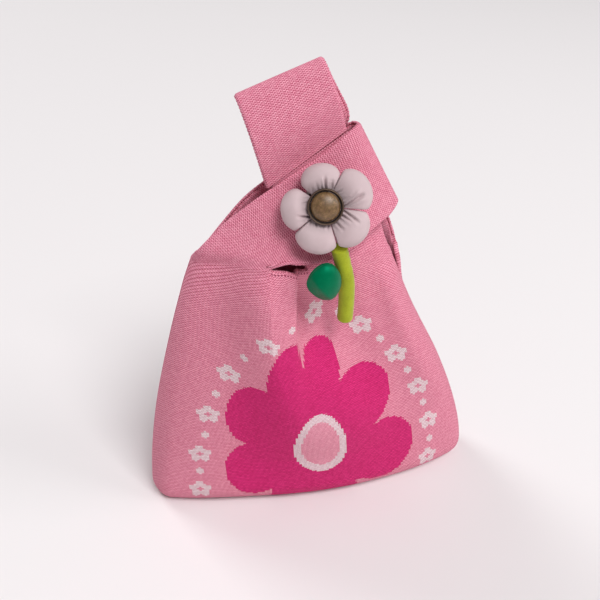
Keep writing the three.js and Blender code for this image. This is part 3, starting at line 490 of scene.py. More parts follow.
def edge_loops(lines):
    return [rope("edge_loops", line, EDGE_LOOP, 0.45) for line in lines]


# Above the motif the courses slope down to the middle, because the knot pulls the cloth up at both shoulders.
SLANT = 33.0
FLOOR_RUN = 20.0            # length of cloth on the floor, and in the rounding to the wall
TURN_RUN = 22.0
PANEL_RUN = 262.0           # length of cloth in a whole share of a panel


def knit_side(front):
    cloth = Cloth()
    grid, s, w = panel_face(front, COLUMNS, ROWS)
    z = grid[..., 2]
    turning = FLOOR_RUN + TURN_RUN * (w - BASE_SHARE) / (WALL_SHARE - BASE_SHARE)
    run = np.where(w < WALL_SHARE, turning, FLOOR_RUN + TURN_RUN + z - BASE_RISE)
    run = np.where(w < BASE_SHARE, FLOOR_RUN * w / BASE_SHARE, run)
    dip = profile([[0, 0], [0.2, 0.55], [0.42, 1], [0.7, 0.45], [1, 0]], s)
    courses = run + SLANT * smooth(z, 60, BODY_HEIGHT) * dip
    wales = across(grid)
    level = np.where(w < WALL_SHARE, run - FLOOR_RUN - TURN_RUN + BASE_RISE, z)
    motif = np.stack([grid[..., 0], level], -1)
    lip = (COLUMNS > NECK_START - 1e-6) & (COLUMNS < LEG_START + 1e-6)
    edge = np.where(lip[None, :], (1 - w) * PANEL_RUN, FAR_IN)
    panel = cloth.add(grid, np.stack([wales, courses], -1), edge, motif, wales)
    lines = [face_edge(grid.transpose(1, 0, 2)[neck:leg + 1, ::-1], front)]
    for strap in ("short handle", "long handle"):
        if strap == "short handle":
            columns = slice(0, neck + 1)
            q = COLUMNS[columns] / NECK_START
            t = np.linspace(0, 0.5, 73)
            if not front:
                t = 1 - t
            face = strap_face(SHORT_ROWS, q, t, grid[-1, columns], 0.14)
            grown_out = q < 0.5
            inner, outer = face[:, ::-1], face
        else:
            columns = slice(leg, len(COLUMNS))
            q = (COLUMNS[columns] - LEG_START) / (1 - LEG_START)
            t = np.linspace(0, 1, 46)
            face = strap_face(FRONT_LEG if front else BACK_LEG, q, t, grid[-1, columns], 0.35)
            grown_out = q > 0.5
            inner, outer = face, face[:, ::-1]
        # The courses run square to the strap once it has left the panel, whose wales run on into it.
        share = (np.abs(t - t[0]) / abs(t[-1] - t[0]))[:, None]
        reached = courses[-1, columns][None] + lengths(face, 0)
        reached = mix(reached, reached.mean(1, keepdims=True), smooth(share, 0.3, 0.9))
        beyond = across(face)
        beyond += (wales[-1, columns] - beyond[0])[None]
        beside = np.minimum(np.minimum(q, 1 - q)[None] * STRAP_WIDTH, FAR_IN)
        free = np.where(grown_out[None], smooth(share, 0, 0.12), 1)
        cloth.add(face, np.stack([beyond, reached], -1), mix(FAR_IN, beside, free), shared=panel[-1, columns])
        lines += [face_edge(inner, front), face_edge(outer, front)[8:]]
    piece = cloth.piece("knit_front" if front else "knit_back", outward=front)
    return joined(piece, edge_loops(lines))


knit_front = knit_side(True)
knit_back = knit_side(False)


def linear(code):
    """sRGB hex to the linear colour that Blender works with."""
    parts = [int(code[i:i + 2], 16) / 255 for i in (1, 3, 5)]
    return [c / 12.92 if c <= 0.04045 else ((c + 0.055) / 1.055) ** 2.4 for c in parts] + [1.0]


def put(tree, kind, links, operation=None, **settings):
    """Adds a node. links feeds its inputs, in order or by key: a value, a colour, a node or a socket."""
    if isinstance(links, list):
        links = dict(enumerate(links))
    made = tree.nodes.new("ShaderNode" + kind)
    if operation:
        made.operation = operation
    for key, value in settings.items():
        setattr(made, key, value)
    for socket, value in links.items():
        if isinstance(value, str):
            value = linear(value)
        if isinstance(value, bpy.types.Node):
            # A node stands for the first of its outputs that these settings leave in use.
            value = next(output for output in value.outputs if output.enabled)
        if isinstance(value, bpy.types.NodeSocket):
            tree.links.new(value, made.inputs[socket])
        else:
            made.inputs[socket].default_value = value
    return made


def begin(name):
    """A new material with an empty node tree."""
    material = bpy.data.materials.new(name)
    material.use_nodes = True
    material.node_tree.nodes.clear()
    return material, material.node_tree


# Double jacquard knit of soft acrylic and cotton yarn, about 6 wales and 7 courses to the centimetre. Matt,
# with rows of small V stitches. Dark gaps show in checker order, between the legs of a V and beside them.
WALE = 1.65 * MM
COURSE = 1.35 * MM
GROUND = ("#f8adc2", "#ea93ac")
HOT = ("#ea378c", "#d62676")
WHITE = ("#fcf3f5", "#efe1e5")
PALE = ("#fab9cb", "#f2a5ba")
# Petals of the daisy: centre and radii in millimetres on the front panel.
DAISY = [
    ((-49, 85), (17.5, 27)),
    ((-48, 36), (20, 24)),
    ((-7, 9), (30.5, 31)),
    ((40, 38), (24.5, 27)),
    ((21, 86.5), (22.5, 25)),
    ((22, 36), (20, 22)),
    ((-9, 112), (15, 26)),
    ((-28, 116), (15, 27)),
    ((-6, 62), (38, 46)),
]

# Blossoms and dots stand by turns, evenly spaced, on an arch round the daisy that leans to the left.
ARCH_HALF_WIDTH = 82.0
ARCH_HEIGHT = 135.0
ARCH_LEAN = 25.0
around = np.radians(np.linspace(-90, 90, 400))
arch_z = ARCH_HEIGHT * np.cos(around) + BASE_RISE - ARCH_LEAN * np.sin(around) * np.cos(around)
arch = np.stack([ARCH_HALF_WIDTH * np.sin(around) - 3, arch_z], -1)
arch_run = lengths(arch[:, None], 0)[:, 0]
even = np.linspace(0, arch_run[-1], 21)
arch = np.stack([np.interp(even, arch_run, arch[:, i]) for i in (0, 1)], -1)


def stitch_at(piece, target):
    """The stitch of the front panel that lies at this place on it, as wale and course numbers."""
    target = target * MM
    read = []
    for title in ("motif", "stitches"):
        values = np.empty(len(piece.data.loops) * 2)
        piece.data.uv_layers[title].data.foreach_get("uv", values)
        read.append(values.reshape(-1, 2))
    k = int(np.argmin(((read[0] - target) ** 2).sum(1)))
    place = read[1][k] + target - read[0][k]
    return (math.floor(place[0] / WALE), math.floor(place[1] / COURSE), 0)


def knitted(name, with_motif):
    material, tree = begin(name)
    stitches = put(tree, "UVMap", [], uv_map="stitches")
    grid = put(tree, "VectorMath", [stitches, (1 / WALE, 1 / COURSE, 1)], "MULTIPLY")
    whole = put(tree, "VectorMath", [grid], "FLOOR")
    # The legs of a V rise from the middle of the wale to its sides by half a course.
    parts = put(tree, "SeparateXYZ", [grid])
    turn = put(tree, "Math", [parts.outputs[0], math.tau], "MULTIPLY")
    swing = put(tree, "Math", [turn], "COSINE")
    raised = put(tree, "Math", [swing, 0.25, parts.outputs[1]], "MULTIPLY_ADD")
    row = put(tree, "Math", [raised], "FRACT")
    half_turn = put(tree, "Math", [row, math.pi], "MULTIPLY")
    loop = put(tree, "Math", [half_turn], "SINE")
    loop = put(tree, "Math", [loop, 0.65], "POWER")
    # Each leg is round, so it falls away towards the wale's middle and sides.
    beside = put(tree, "Math", [swing, swing], "MULTIPLY")
    leg_round = put(tree, "Math", [beside, -0.5, 1.0], "MULTIPLY_ADD")
    height = put(tree, "Math", [loop, leg_round], "MULTIPLY")

    # Two close shades of yarn are plied together, so no two stitches are quite alike.
    cell = put(tree, "SeparateXYZ", [whole])
    both = put(tree, "Math", [cell.outputs[0], cell.outputs[1]], "ADD")
    other = put(tree, "Math", [both, 2.0], "FLOORED_MODULO")
    uneven = put(tree, "TexWhiteNoise", {"Vector": whole}, noise_dimensions="3D")
    shade = put(tree, "Math", [uneven, 0.75], "MULTIPLY")
    shade = put(tree, "Math", [other, 0.25, shade], "MULTIPLY_ADD")

    colour = put(tree, "Mix", {0: shade, 6: GROUND[0], 7: GROUND[1]}, data_type="RGBA")
    if with_motif:
        # The motif follows whole stitches, so its outlines are stepped.
        centre = put(tree, "VectorMath", [whole, (0.5, 0.5, 0)], "ADD")
        centre = put(tree, "VectorMath", [centre, (WALE, COURSE, 0)], "MULTIPLY")
        step = put(tree, "VectorMath", [centre, stitches], "SUBTRACT")
        motif = put(tree, "UVMap", [], uv_map="motif")
        spot = put(tree, "VectorMath", [motif, step], "ADD")
        spot = put(tree, "VectorMath", [spot, (1000, 1000, 0)], "MULTIPLY")

        nearest = None
        for (x, z), (wide, high) in DAISY:
            away = put(tree, "VectorMath", [spot, (x, z, 0)], "SUBTRACT")
            scaled = put(tree, "VectorMath", [away, (wide, high, 1)], "DIVIDE")
            reach = put(tree, "VectorMath", [scaled], "LENGTH")
            if nearest is not None:
                reach = put(tree, "Math", [nearest, reach], "MINIMUM")
            nearest = reach
        petals = put(tree, "Math", [nearest, 1.0], "LESS_THAN")
        # A narrow wedge of ground colour runs down between the two upper petals.
        spot_parts = put(tree, "SeparateXYZ", [spot])
        x, z = spot_parts.outputs[0], spot_parts.outputs[1]
        left_line = put(tree, "Math", [z, -0.2, 4.4], "MULTIPLY_ADD")
        right_line = put(tree, "Math", [z, 0.12, -34.6], "MULTIPLY_ADD")
        inside_left = put(tree, "Math", [x, left_line], "GREATER_THAN")
        inside_right = put(tree, "Math", [x, right_line], "LESS_THAN")
        above = put(tree, "Math", [z, 121.0], "GREATER_THAN")
        wedge = put(tree, "Math", [inside_left, inside_right], "MULTIPLY")
        wedge = put(tree, "Math", [wedge, above], "MULTIPLY")
        petals = put(tree, "Math", [petals, wedge], "SUBTRACT", use_clamp=True)
        hot = put(tree, "Mix", {0: shade, 6: HOT[0], 7: HOT[1]}, data_type="RGBA")
        colour = put(tree, "Mix", {0: petals, 6: colour, 7: hot}, data_type="RGBA")

        # The ring in the middle is an egg that narrows upwards, white round a pale inside.
        leant = put(tree, "Math", [z, 0.13, -1.2], "MULTIPLY_ADD")
        aside = put(tree, "Math", [x, leant], "ADD")
        higher = put(tree, "Math", [z, 58.5], "SUBTRACT")
        narrower = put(tree, "Math", [higher, 0.006, 1.0], "MULTIPLY_ADD")
        aside = put(tree, "Math", [aside, narrower], "MULTIPLY")
        egg = put(tree, "CombineXYZ", [aside, higher])
        for wide, high, pair in ((17.8, 29.3, WHITE), (13, 22.3, PALE)):
            scaled = put(tree, "VectorMath", [egg, (wide, high, 1)], "DIVIDE")
            reach = put(tree, "VectorMath", [scaled], "LENGTH")
            mask = put(tree, "Math", [reach, 1.0], "LESS_THAN")
            yarn = put(tree, "Mix", {0: shade, 6: pair[0], 7: pair[1]}, data_type="RGBA")
            colour = put(tree, "Mix", {0: mask, 6: colour, 7: yarn}, data_type="RGBA")

        def from_stitch(place):
            """How far each stitch lies from the one at this place, in millimetres."""
            away = put(tree, "VectorMath", [whole, stitch_at(knit_front, place)], "SUBTRACT")
            return put(tree, "VectorMath", [away, (WALE / MM, COURSE / MM, 0)], "MULTIPLY")

        # Each blossom and dot is centred on a stitch, so its two sides match.
        offset = from_stitch(arch[0])
        for place in arch[2::2]:
            away = from_stitch(place)
            near = put(tree, "VectorMath", [away], "LENGTH")
            far = put(tree, "VectorMath", [offset], "LENGTH")
            closer = put(tree, "Math", [near, far], "LESS_THAN")
            offset = put(tree, "Mix", {0: closer, 4: offset, 5: away}, data_type="VECTOR")
        radius = put(tree, "VectorMath", [offset], "LENGTH")
        parts = put(tree, "SeparateXYZ", [offset])
        angle = put(tree, "Math", [parts.outputs[0], parts.outputs[1]], "ARCTAN2")
        five = put(tree, "Math", [angle, 5.0], "MULTIPLY")
        wave = put(tree, "Math", [five], "COSINE")
        reach = put(tree, "Math", [wave, 1.3, 6.7], "MULTIPLY_ADD")
        blossom = put(tree, "Math", [radius, reach], "LESS_THAN")
        beyond_eye = put(tree, "Math", [radius, 2.1], "GREATER_THAN")
        white = put(tree, "Math", [blossom, beyond_eye], "MULTIPLY")
        for place in arch[1::2]:
            radius = put(tree, "VectorMath", [from_stitch(place)], "LENGTH")
            dot = put(tree, "Math", [radius, 3.0], "LESS_THAN")
            white = put(tree, "Math", [white, dot], "MAXIMUM")
        on_panel = put(tree, "Math", [z, 400.0], "LESS_THAN")
        white = put(tree, "Math", [white, on_panel], "MULTIPLY")
        yarn = put(tree, "Mix", {0: shade, 6: WHITE[0], 7: WHITE[1]}, data_type="RGBA")
        colour = put(tree, "Mix", {0: white, 6: colour, 7: yarn}, data_type="RGBA")

    # One stitch in from the slit's edge the cast-off loops leave a row of small holes, one for each loop.
    beside = put(tree, "UVMap", [], uv_map="edge")
    beside = put(tree, "VectorMath", [beside, (1 / MM, 1 / MM / LOOP_PITCH, 0)], "MULTIPLY")
    beside = put(tree, "SeparateXYZ", [beside])
    inward = put(tree, "Math", [beside.outputs[0], 2.3], "SUBTRACT")
    along = put(tree, "Math", [beside.outputs[1]], "FRACT")
    along = put(tree, "Math", [along, LOOP_PITCH, -LOOP_PITCH / 2], "MULTIPLY_ADD")
    from_hole = put(tree, "CombineXYZ", [inward, along])
    from_hole = put(tree, "VectorMath", [from_hole], "LENGTH")
    painted_hole_shade = put(tree, "MapRange", [from_hole, 0.35, 0.75, 1.0, 0.0])

    # Light doesn't reach the gaps between the stitches, so the yarn looks darker and redder there.
    open_gap = put(tree, "MapRange", [height, 0.2, 0.75, 1.0, 0.0])
    gap = put(tree, "Mix", {0: open_gap, 6: (1.06, 1.06, 1.06, 1), 7: "#b45d73"}, data_type="RGBA")
    tone = put(tree, "VectorMath", [colour, gap], "MULTIPLY")
    # Painted shade in the holes: they are not cut, so each is a spot of dark pink standing for the shade
    # inside the bag seen through it.
    tone = put(tree, "Mix", {0: painted_hole_shade, 6: tone, 7: "#8a2f4c"}, data_type="RGBA")
    fibre = put(tree, "TexNoise", {"Vector": stitches, "Scale": 900.0, "Detail": 2.0})
    relief = put(tree, "Math", [fibre, 0.25, height], "MULTIPLY_ADD")
    bump = put(tree, "Bump", {"Strength": 0.5, "Distance": 0.0006, "Height": relief})
    shader = put(tree, "BsdfPrincipled", {
        "Base Color": tone, "Roughness": 0.92, "Normal": bump, "Sheen Weight": 0.04, "Sheen Roughness": 0.5,
        "Specular IOR Level": 0.2,
    })
    put(tree, "OutputMaterial", [shader])
    return material


pink_jacquard = knitted("pink jacquard knit with daisy", True)
pink_knit = knitted("pink double knit", False)
knit_front.data.materials.append(pink_jacquard)
knit_back.data.materials.append(pink_knit)
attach(knit_front, "bag")
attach(knit_back, "bag")
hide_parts("front_panel", "short_handle_front", "long_handle_front_leg")
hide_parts("back_panel", "short_handle_back", "long_handle_back_leg")


# Wrist loop
# The free end of the long handle above the knot: its two legs leave the short handle's grip, part a little
# and meet in a flattened fold at the top, where the two halves of the strap are linked.
LOOP_TILT = math.radians(17.6)
LOOP_HEIGHT = 42.0
LOOP_SWELL = 9.5            # half of the loop's depth where it is widest
LOOP_LEAN = 6.0             # it leans back this far at the top
# Share of the height and half of the depth, from inside the grip to the top.
LOOP_SECTION = [(-0.115, LEG_OUT), (-0.02, LEG_OUT), (0.2, (LEG_OUT + LOOP_SWELL) / 2), (0.45, LOOP_SWELL),
                (0.7, 0.97 * LOOP_SWELL), (0.88, 0.72 * LOOP_SWELL), (0.97, 0.38 * LOOP_SWELL), (1, 0)]
hinge = np.array([math.cos(KNOT_LINE), 0, math.sin(KNOT_LINE)])
loop_up = np.array([-math.sin(LOOP_TILT), 0, math.cos(LOOP_TILT)])
loop_across = np.array([math.cos(LOOP_TILT + math.radians(3)), 0, math.sin(LOOP_TILT + math.radians(3))])


def wrist_loop():
    half = [[-d, k * LOOP_HEIGHT, 0] for k, d in LOOP_SECTION]
    other = [[d, k * LOOP_HEIGHT, 0] for k, d in LOOP_SECTION[:-1][::-1]]
    t = np.linspace(0, 1, 131)
    line = curve(half + other, t)
    q = np.concatenate([[0, 0.012, 0.024], np.linspace(0.04, 0.96, 30), [0.976, 0.988, 1]])
    k = (line[:, 1] / LOOP_HEIGHT)[:, None, None]
    foot = hinge * ((q - 0.5) * STRAP_WIDTH / math.cos(KNOT_LINE - LOOP_TILT))[None, :, None]
    top = loop_up * LOOP_HEIGHT + loop_across * ((2 * q - 1) * STRAP_WIDTH / 2 * 0.985)[None, :, None]
    place = mix(foot, top, k)
    out = line[:, 0][:, None]
    k = k[..., 0]
    # The back half stands out to the right of the front half, and its right edge comes forward again.
    behind = smooth(out, -1, 3)
    place[..., 0] += behind * (1 - k) * (2.6 * smooth(k, -0.1, 0.25) + 4.4 * smooth(k, -0.25, 0.06))
    nearer = 1 - 0.35 * smooth(q[None], 0.5, 1) * behind * smooth(k, -0.1, 0.2)
    place[..., 1] += out * nearer + LOOP_LEAN * np.maximum(k, 0) ** 1.5
    place += KNOT
    cloth = Cloth()
    edge = np.minimum(np.minimum(q, 1 - q)[None] * STRAP_WIDTH, FAR_IN) + np.zeros((len(t), 1))
    cloth.add(place, np.stack([across(place), lengths(place, 0)], -1), edge)
    piece = cloth.piece("wrist_loop_knit", outward=True)
    return joined(piece, edge_loops([face_edge(place, True), face_edge(place[:, ::-1], True)]))


loop = wrist_loop()
loop.data.materials.append(pink_knit)
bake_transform(loop)
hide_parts("wrist_loop")


# Linked seams
# The selvedges are linked by a chain of the same yarn: along both sides, along the bottom, and inside the
# folds of the two handles. They show inside the bag as soft plaited cords.
SEAM_RADIUS = 1.2
SEAM_END = 14.3             # the side seams stop this far from the floor and from the shoulders
SEAM_GAP = 0.3              # room between the seam and the cloth
SEAM_ROOM = 0.7             # and this much more at the shoulders
FOLD_SEAM = 0.6             # radius of the seams in the two folds


def chain(node, points, radius, body):
    piece = rope(node + "_yarn", np.array(points, float), radius, 0.3, twist=0.5)
    piece.data.materials.append(seam_yarn)
    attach(piece, body)
    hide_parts(node)


# Plied pink yarn: matt, a little darker than the knit, with fine twisted fibres.
seam_yarn, tree = begin("plied pink linking yarn")
where = put(tree, "TexCoord", []).outputs["Object"]
twist = put(tree, "TexWave", {"Vector": where, "Scale": 700.0, "Distortion": 3.0, "Detail": 2.0},
            bands_direction="DIAGONAL").outputs["Fac"]
tint = put(tree, "Mix", {0: twist, 6: "#c96684", 7: "#de8ba5"}, data_type="RGBA")
bump = put(tree, "Bump", {"Strength": 0.5, "Distance": 0.0003, "Height": twist})
shader = put(tree, "BsdfPrincipled", {"Base Color": tint, "Roughness": 0.95, "Normal": bump,
                                      "Sheen Weight": 0.1, "Specular IOR Level": 0.2})
put(tree, "OutputMaterial", [shader])

heights = np.linspace(SEAM_END, BODY_HEIGHT - SEAM_END, 40)
tight = smooth(heights / BODY_HEIGHT, 0.45, 0.9)
ends = np.minimum(1, np.minimum(heights - 13, BODY_HEIGHT - 13 - heights) / 10)
rounds = SEAM_RADIUS * mix(1, 0.6, tight) * ends
inside = KNIT + SEAM_RADIUS + SEAM_GAP + SEAM_ROOM * tight
for node, x in (("left_side_seam", -profile(SEAM_LEFT, heights) + inside),
                ("right_side_seam", profile(SEAM_RIGHT, heights) - inside)):
    chain(node, np.stack([x, flank(heights) - FLANK, heights], -1), rounds, "bag")
chain("bottom_seam", [(x, BASE_SEAM, 4.5) for x in (-97, 0, 97)], SEAM_RADIUS, "bag")
for node, body in (("short_handle_seam", "bag"), ("wrist_loop_seam", "loop")):
    low, high = [np.array(corner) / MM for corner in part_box(node)]
    first, last = low + FOLD_SEAM, high - FOLD_SEAM
    first[1] = last[1] = (low[1] + high[1]) / 2
    if body == "bag":
        # The short handle's fold falls to the right, the wrist loop's rises.
        first[2], last[2] = last[2], first[2]
    chain(node, [first, last], FOLD_SEAM, body)


# Stuffed petals
# Five petals of matt cotton, sewn right side in, turned and filled, then gathered tightly on one thread. Each
# has its own creases where the gathers run out from under the button.
FLOWER_AT = Vector((-8.605, -35.516, 227.928))
FLOWER_RIGHT = Vector((0.9703, -0.2419, 0))
FLOWER_UP = Vector((0.0984, 0.3946, 0.9136))
FLOWER_FACING = Vector((-0.2210, -0.8864, 0.4067))
flower_frame = np.array([FLOWER_RIGHT, FLOWER_UP, FLOWER_FACING])
# Angle, reach, half width, half of the angle to the neighbour on each side, and creases. A crease has its
# place aside, start, end, slope, depth and width.
PETALS = [
    (100, 23.6, 11.0, 42, 35.5, [(-1.6, 8.5, 17.5, -0.05, 1.7, 0.5), (2.6, 9, 15, 0.1, 1.1, 0.5),
                                 (-5.0, 9, 15, -0.2, 1.2, 0.5), (0.6, 9, 13.5, 0.05, 0.9, 0.45)]),
    (29, 27.5, 12.9, 36.5, 33.5, [(-4.6, 8.5, 23, 0.08, 2.6, 0.6), (-1.0, 9, 15, 0, 1.0, 0.5),
                                  (-2.8, 9, 19, 0.16, 1.3, 0.5), (3.6, 9, 14, 0.15, 0.9, 0.5)]),
    (-38, 28.0, 12.1, 33, 33, [(4.6, 8.5, 21, 0.02, 2.0, 0.5), (2.2, 9, 19, 0.12, 1.6, 0.5),
                               (-2.9, 9, 17, -0.1, 1.6, 0.5), (-0.3, 9, 14, 0, 0.9, 0.45)]),
    (-104, 26.6, 12.3, 33, 34, [(-2.2, 9, 13.5, 0, 1.0, 0.5), (1.2, 9, 13, 0, 0.9, 0.5),
                                (4.4, 9, 14, 0.1, 1.0, 0.5), (-5.4, 9, 13, -0.1, 0.8, 0.5)]),
    (-172, 24.4, 11.6, 34, 42, [(4.2, 8.5, 17, -0.12, 2.0, 0.55), (-3.0, 9, 14, 0, 1.0, 0.5),
                                (0.6, 9, 13.5, 0, 0.9, 0.5)]),
]
PETAL_ROOT = 4.6


def grown(name, ring, rings, sides):
    """A closed form from ring(t, angle), which gives points in millimetres, with a pole at each end."""
    t = np.linspace(0, 1, rings + 1)[1:-1]
    angle = np.arange(sides) * math.tau / sides
    poles = [ring(np.array([[end]]), np.zeros((1, 1)))[0, 0] for end in (0.0, 1.0)]
    return finish(closed_rings(name, ring(*np.meshgrid(t, angle, indexing="ij")), poles))


# How far a petal stands out in front and behind, at each share of the way from its root to its tip.
PETAL_PUFF = 7.1
PETAL_FRONT = [[0, 0.3], [0.14, 0.42], [0.27, 0.62], [0.5, 0.96], [0.66, 1], [0.85, 0.8], [0.95, 0.5], [1, 0]]
PETAL_BACK = [[0, 0.3], [0.3, 0.48], [0.6, 0.72], [0.85, 0.6], [0.95, 0.36], [1, 0]]
PETAL_BROADEST = 0.52
GATHERS = 1.9               # from one small gather round the button to the next


def petal_form(far, wide, left, right, creases):
    def ring(t, angle):
        r = mix(PETAL_ROOT, far, (1 - np.cos(math.pi * t)) / 2)
        near = (r - PETAL_ROOT) / (far - PETAL_ROOT)
        opening = 0.42 + 0.58 * np.sin(np.minimum(near / PETAL_BROADEST, 1) * math.pi / 2)
        closing = np.maximum(near - PETAL_BROADEST, 0) / (1 - PETAL_BROADEST)
        closing = np.sqrt(np.clip(1 - closing ** 2.1, 0, 1))
        opened = smooth(near, -0.08, 0.1)
        aside = wide * np.where(near < PETAL_BROADEST, opening, closing) * opened * np.cos(angle)
        # Neighbours press each other flat along their sides.
        for sign, free in ((1, left), (-1, right)):
            limit = r * math.tan(math.radians(free)) - 0.15
            over = np.maximum(sign * aside - limit * 0.9, 0)
            pressed = sign * (limit * 0.9 + over / (1 + over / (limit * 0.12)))
            aside = np.where(sign * aside > limit * 0.9, pressed, aside)
        rise = np.sin(angle)
        puff = PETAL_PUFF * np.where(rise > 0, profile(PETAL_FRONT, near), profile(PETAL_BACK, near))
        puff = puff * opened * np.sign(rise) * np.abs(rise) ** 0.85
        # A crease has a raised lip on both sides.
        dent = 0.22 * np.cos(aside * math.tau / GATHERS) * (1 - smooth(r, 10, 13.5))
        for side, start, end, slope, depth, width in creases:
            off = aside - side - slope * (r - 10)
            deep = depth * smooth(r, start - 2, start) * (1 - smooth(r, end - 5, end))
            width = width * (1 + 0.09 * (r - 10))
            lips = np.exp(-((np.abs(off) - 2.1 * width) / (1.1 * width)) ** 2)
            dent += deep * (np.exp(-(off / width) ** 2) - 0.35 * lips)
        puff -= dent * np.sign(rise) * np.minimum(np.abs(rise) * 1.6, 1) * np.where(rise > 0, 1, 0.6)
        return np.stack([r, aside, puff], -1)
    return ring


# Cotton sateen: matt with a faint sheen at grazing angles. Its weave of 0.35 mm shows as a soft tooth.
petal_cotton, tree = begin("matt cotton sateen")
where = put(tree, "TexCoord", []).outputs["Object"]
threads = [put(tree, "TexWave", {"Vector": where, "Scale": 900.0, "Distortion": 1.0}, bands_direction=way)
           for way in ("X", "Z")]
weave = put(tree, "Math", [threads[0].outputs["Fac"], threads[1].outputs["Fac"]], "MULTIPLY")
cloud = put(tree, "TexNoise", {"Vector": where, "Scale": 130.0, "Detail": 3.0})
tint = put(tree, "Mix", {0: cloud, 6: "#c2abae", 7: "#cfbbbe"}, data_type="RGBA")
# Painted shade: the cloth is painted darker in the gathers beside the button, where the button and the
# gathers shade it.
button_at = tuple((FLOWER_AT + FLOWER_FACING * 5) * MM)
spot = put(tree, "VectorMath", [where, button_at], "DISTANCE")
painted_button_shade = put(tree, "MapRange", [spot, 0.009, 0.016, 0.78, 1.0])
tone = put(tree, "VectorMath", {0: tint, 3: painted_button_shade}, "SCALE")
bump = put(tree, "Bump", {"Strength": 0.35, "Distance": 0.0001, "Height": weave})
shader = put(tree, "BsdfPrincipled", {
    "Base Color": tone, "Roughness": 0.85, "Normal": bump, "Sheen Weight": 0.15, "Sheen Roughness": 0.4,
    "Specular IOR Level": 0.25,
})
put(tree, "OutputMaterial", [shader])

for number, (angle, far, wide, left, right, creases) in enumerate(PETALS, 1):
    form = petal_form(far, wide, left, right, creases)
    turn = math.radians(angle)

    def placed(t, around):
        local = form(t, around)
        x = local[..., 0] * math.cos(turn) - local[..., 1] * math.sin(turn)
        y = local[..., 0] * math.sin(turn) + local[..., 1] * math.cos(turn)
        return np.array(FLOWER_AT) + np.stack([x, y, local[..., 2]], -1) @ flower_frame

    petal = grown(f"petal_{number}_cotton", placed, 84, 128)
    petal.data.materials.append(petal_cotton)
    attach(petal, "flower")
    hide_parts(f"petal_{number}")


# Covered button
# A domed cap of mottled brown shell set in a blackened brass cup, with a turned back plate and a shank.
UNDER_BUTTON = 3.9          # the back of the plate, in front of the petals' middle plane
flower_matrix = Matrix.Translation(FLOWER_AT * MM) @ Matrix(flower_frame.tolist()).transposed().to_4x4()


def spun(name, outline, steps, rounding=0.0, closed=False):
    """Turned piece about the flower's axis: the outline of (radius, height) is spun right round."""
    ends = [(i, i + 1) for i in range(len(outline) - 1)]
    if closed:
        ends.append((len(outline) - 1, 0))
    piece = new_piece(name, [(r, 0, h) for r, h in outline], [], ends)
    chosen(piece)
    bpy.ops.object.mode_set(mode="EDIT")
    bpy.ops.mesh.select_all(action="SELECT")
    bpy.ops.mesh.spin(steps=steps, angle=math.tau, center=(0, 0, 0), axis=(0, 0, 1))
    bpy.ops.object.mode_set(mode="OBJECT")
    face_outwards(piece, weld=True)
    if rounding:
        soft = piece.modifiers.new("rounding", "BEVEL")
        soft.width = rounding * MM
        soft.segments = 2
        soft.angle_limit = math.radians(35)
    finish(piece)
    bpy.ops.object.shade_smooth_by_angle(angle=math.radians(40))
    piece.data.transform(flower_matrix)
    return piece


DOME_RADIUS = 8.1
DOME_RISE = 4.0
dome_foot = UNDER_BUTTON + 1.7
dome_outline = [(0, dome_foot - 0.35), (DOME_RADIUS - 0.4, dome_foot - 0.35), (DOME_RADIUS, dome_foot)]
for a in np.linspace(0, math.pi / 2, 17)[1:]:
    dome_outline.append((DOME_RADIUS * math.cos(a), dome_foot + DOME_RISE * math.sin(a)))
dome = spun("button_dome_shell", dome_outline, 64)
# Burnt shell: fine brown mottling under a thin worn lacquer, so it has a soft broad highlight.
shell, tree = begin("mottled brown shell, lacquered")
where = put(tree, "TexCoord", []).outputs["Object"]
coarse = put(tree, "TexNoise", {"Vector": where, "Scale": 420.0, "Detail": 4.0, "Roughness": 0.7})
fine = put(tree, "TexVoronoi", {"Vector": where, "Scale": 1300.0}, feature="F1")
speck = put(tree, "MapRange", [fine, 0.15, 0.5, 0.0, 1.0])
tint = put(tree, "ValToRGB", [coarse])
for element, at, tone in zip(tint.color_ramp.elements, (0.36, 0.64), ("#5b4029", "#8d6c4a")):
    element.position = at
    element.color = linear(tone)
dark = put(tree, "Mix", {0: speck, 6: "#5e4d22", 7: tint}, data_type="RGBA")
bump = put(tree, "Bump", {"Strength": 0.25, "Distance": 0.0001, "Height": coarse})
shader = put(tree, "BsdfPrincipled", {"Base Color": dark, "Roughness": 0.42, "Normal": bump,
                                      "Coat Weight": 0.15, "Coat Roughness": 0.35})
put(tree, "OutputMaterial", [shader])
dome.data.materials.append(shell)

base = UNDER_BUTTON + 0.9
rim = spun("button_rim_cup", [
    (8.35, base), (8.3, base + 1.1), (8.42, base + 1.5), (8.6, base + 1.4), (8.75, base + 1.5),
    (8.85, base + 1.9), (9.0, base + 2.4), (9.3, base + 2.7), (9.62, base + 2.45), (9.9, base + 1.8),
    (9.98, base + 1.1), (9.75, base + 0.2), (9.3, base - 0.15), (8.7, base - 0.2),
], 72, rounding=0.12, closed=True)
# Blackened brass: dark in the groove round the dome, rubbed to brown on the bead by handling.
rubbed, tree = begin("blackened brass, rubbed")
where = put(tree, "TexCoord", []).outputs["Object"]
worn = put(tree, "TexNoise", {"Vector": where, "Scale": 500.0, "Detail": 5.0})
tint = put(tree, "Mix", {0: worn, 6: "#4a3b31", 7: "#7b685a"}, data_type="RGBA")
bump = put(tree, "Bump", {"Strength": 0.2, "Distance": 0.0001, "Height": worn})
shader = put(tree, "BsdfPrincipled", {"Base Color": tint, "Metallic": 0.75, "Roughness": 0.45,
                                      "Normal": bump})
put(tree, "OutputMaterial", [shader])
black, tree = begin("black patina")
where = put(tree, "TexCoord", []).outputs["Object"]
worn = put(tree, "TexNoise", {"Vector": where, "Scale": 700.0, "Detail": 3.0})
tint = put(tree, "Mix", {0: worn, 6: "#0d0b0a", 7: "#2a231f"}, data_type="RGBA")
shader = put(tree, "BsdfPrincipled", {"Base Color": tint, "Metallic": 0.3, "Roughness": 0.55})
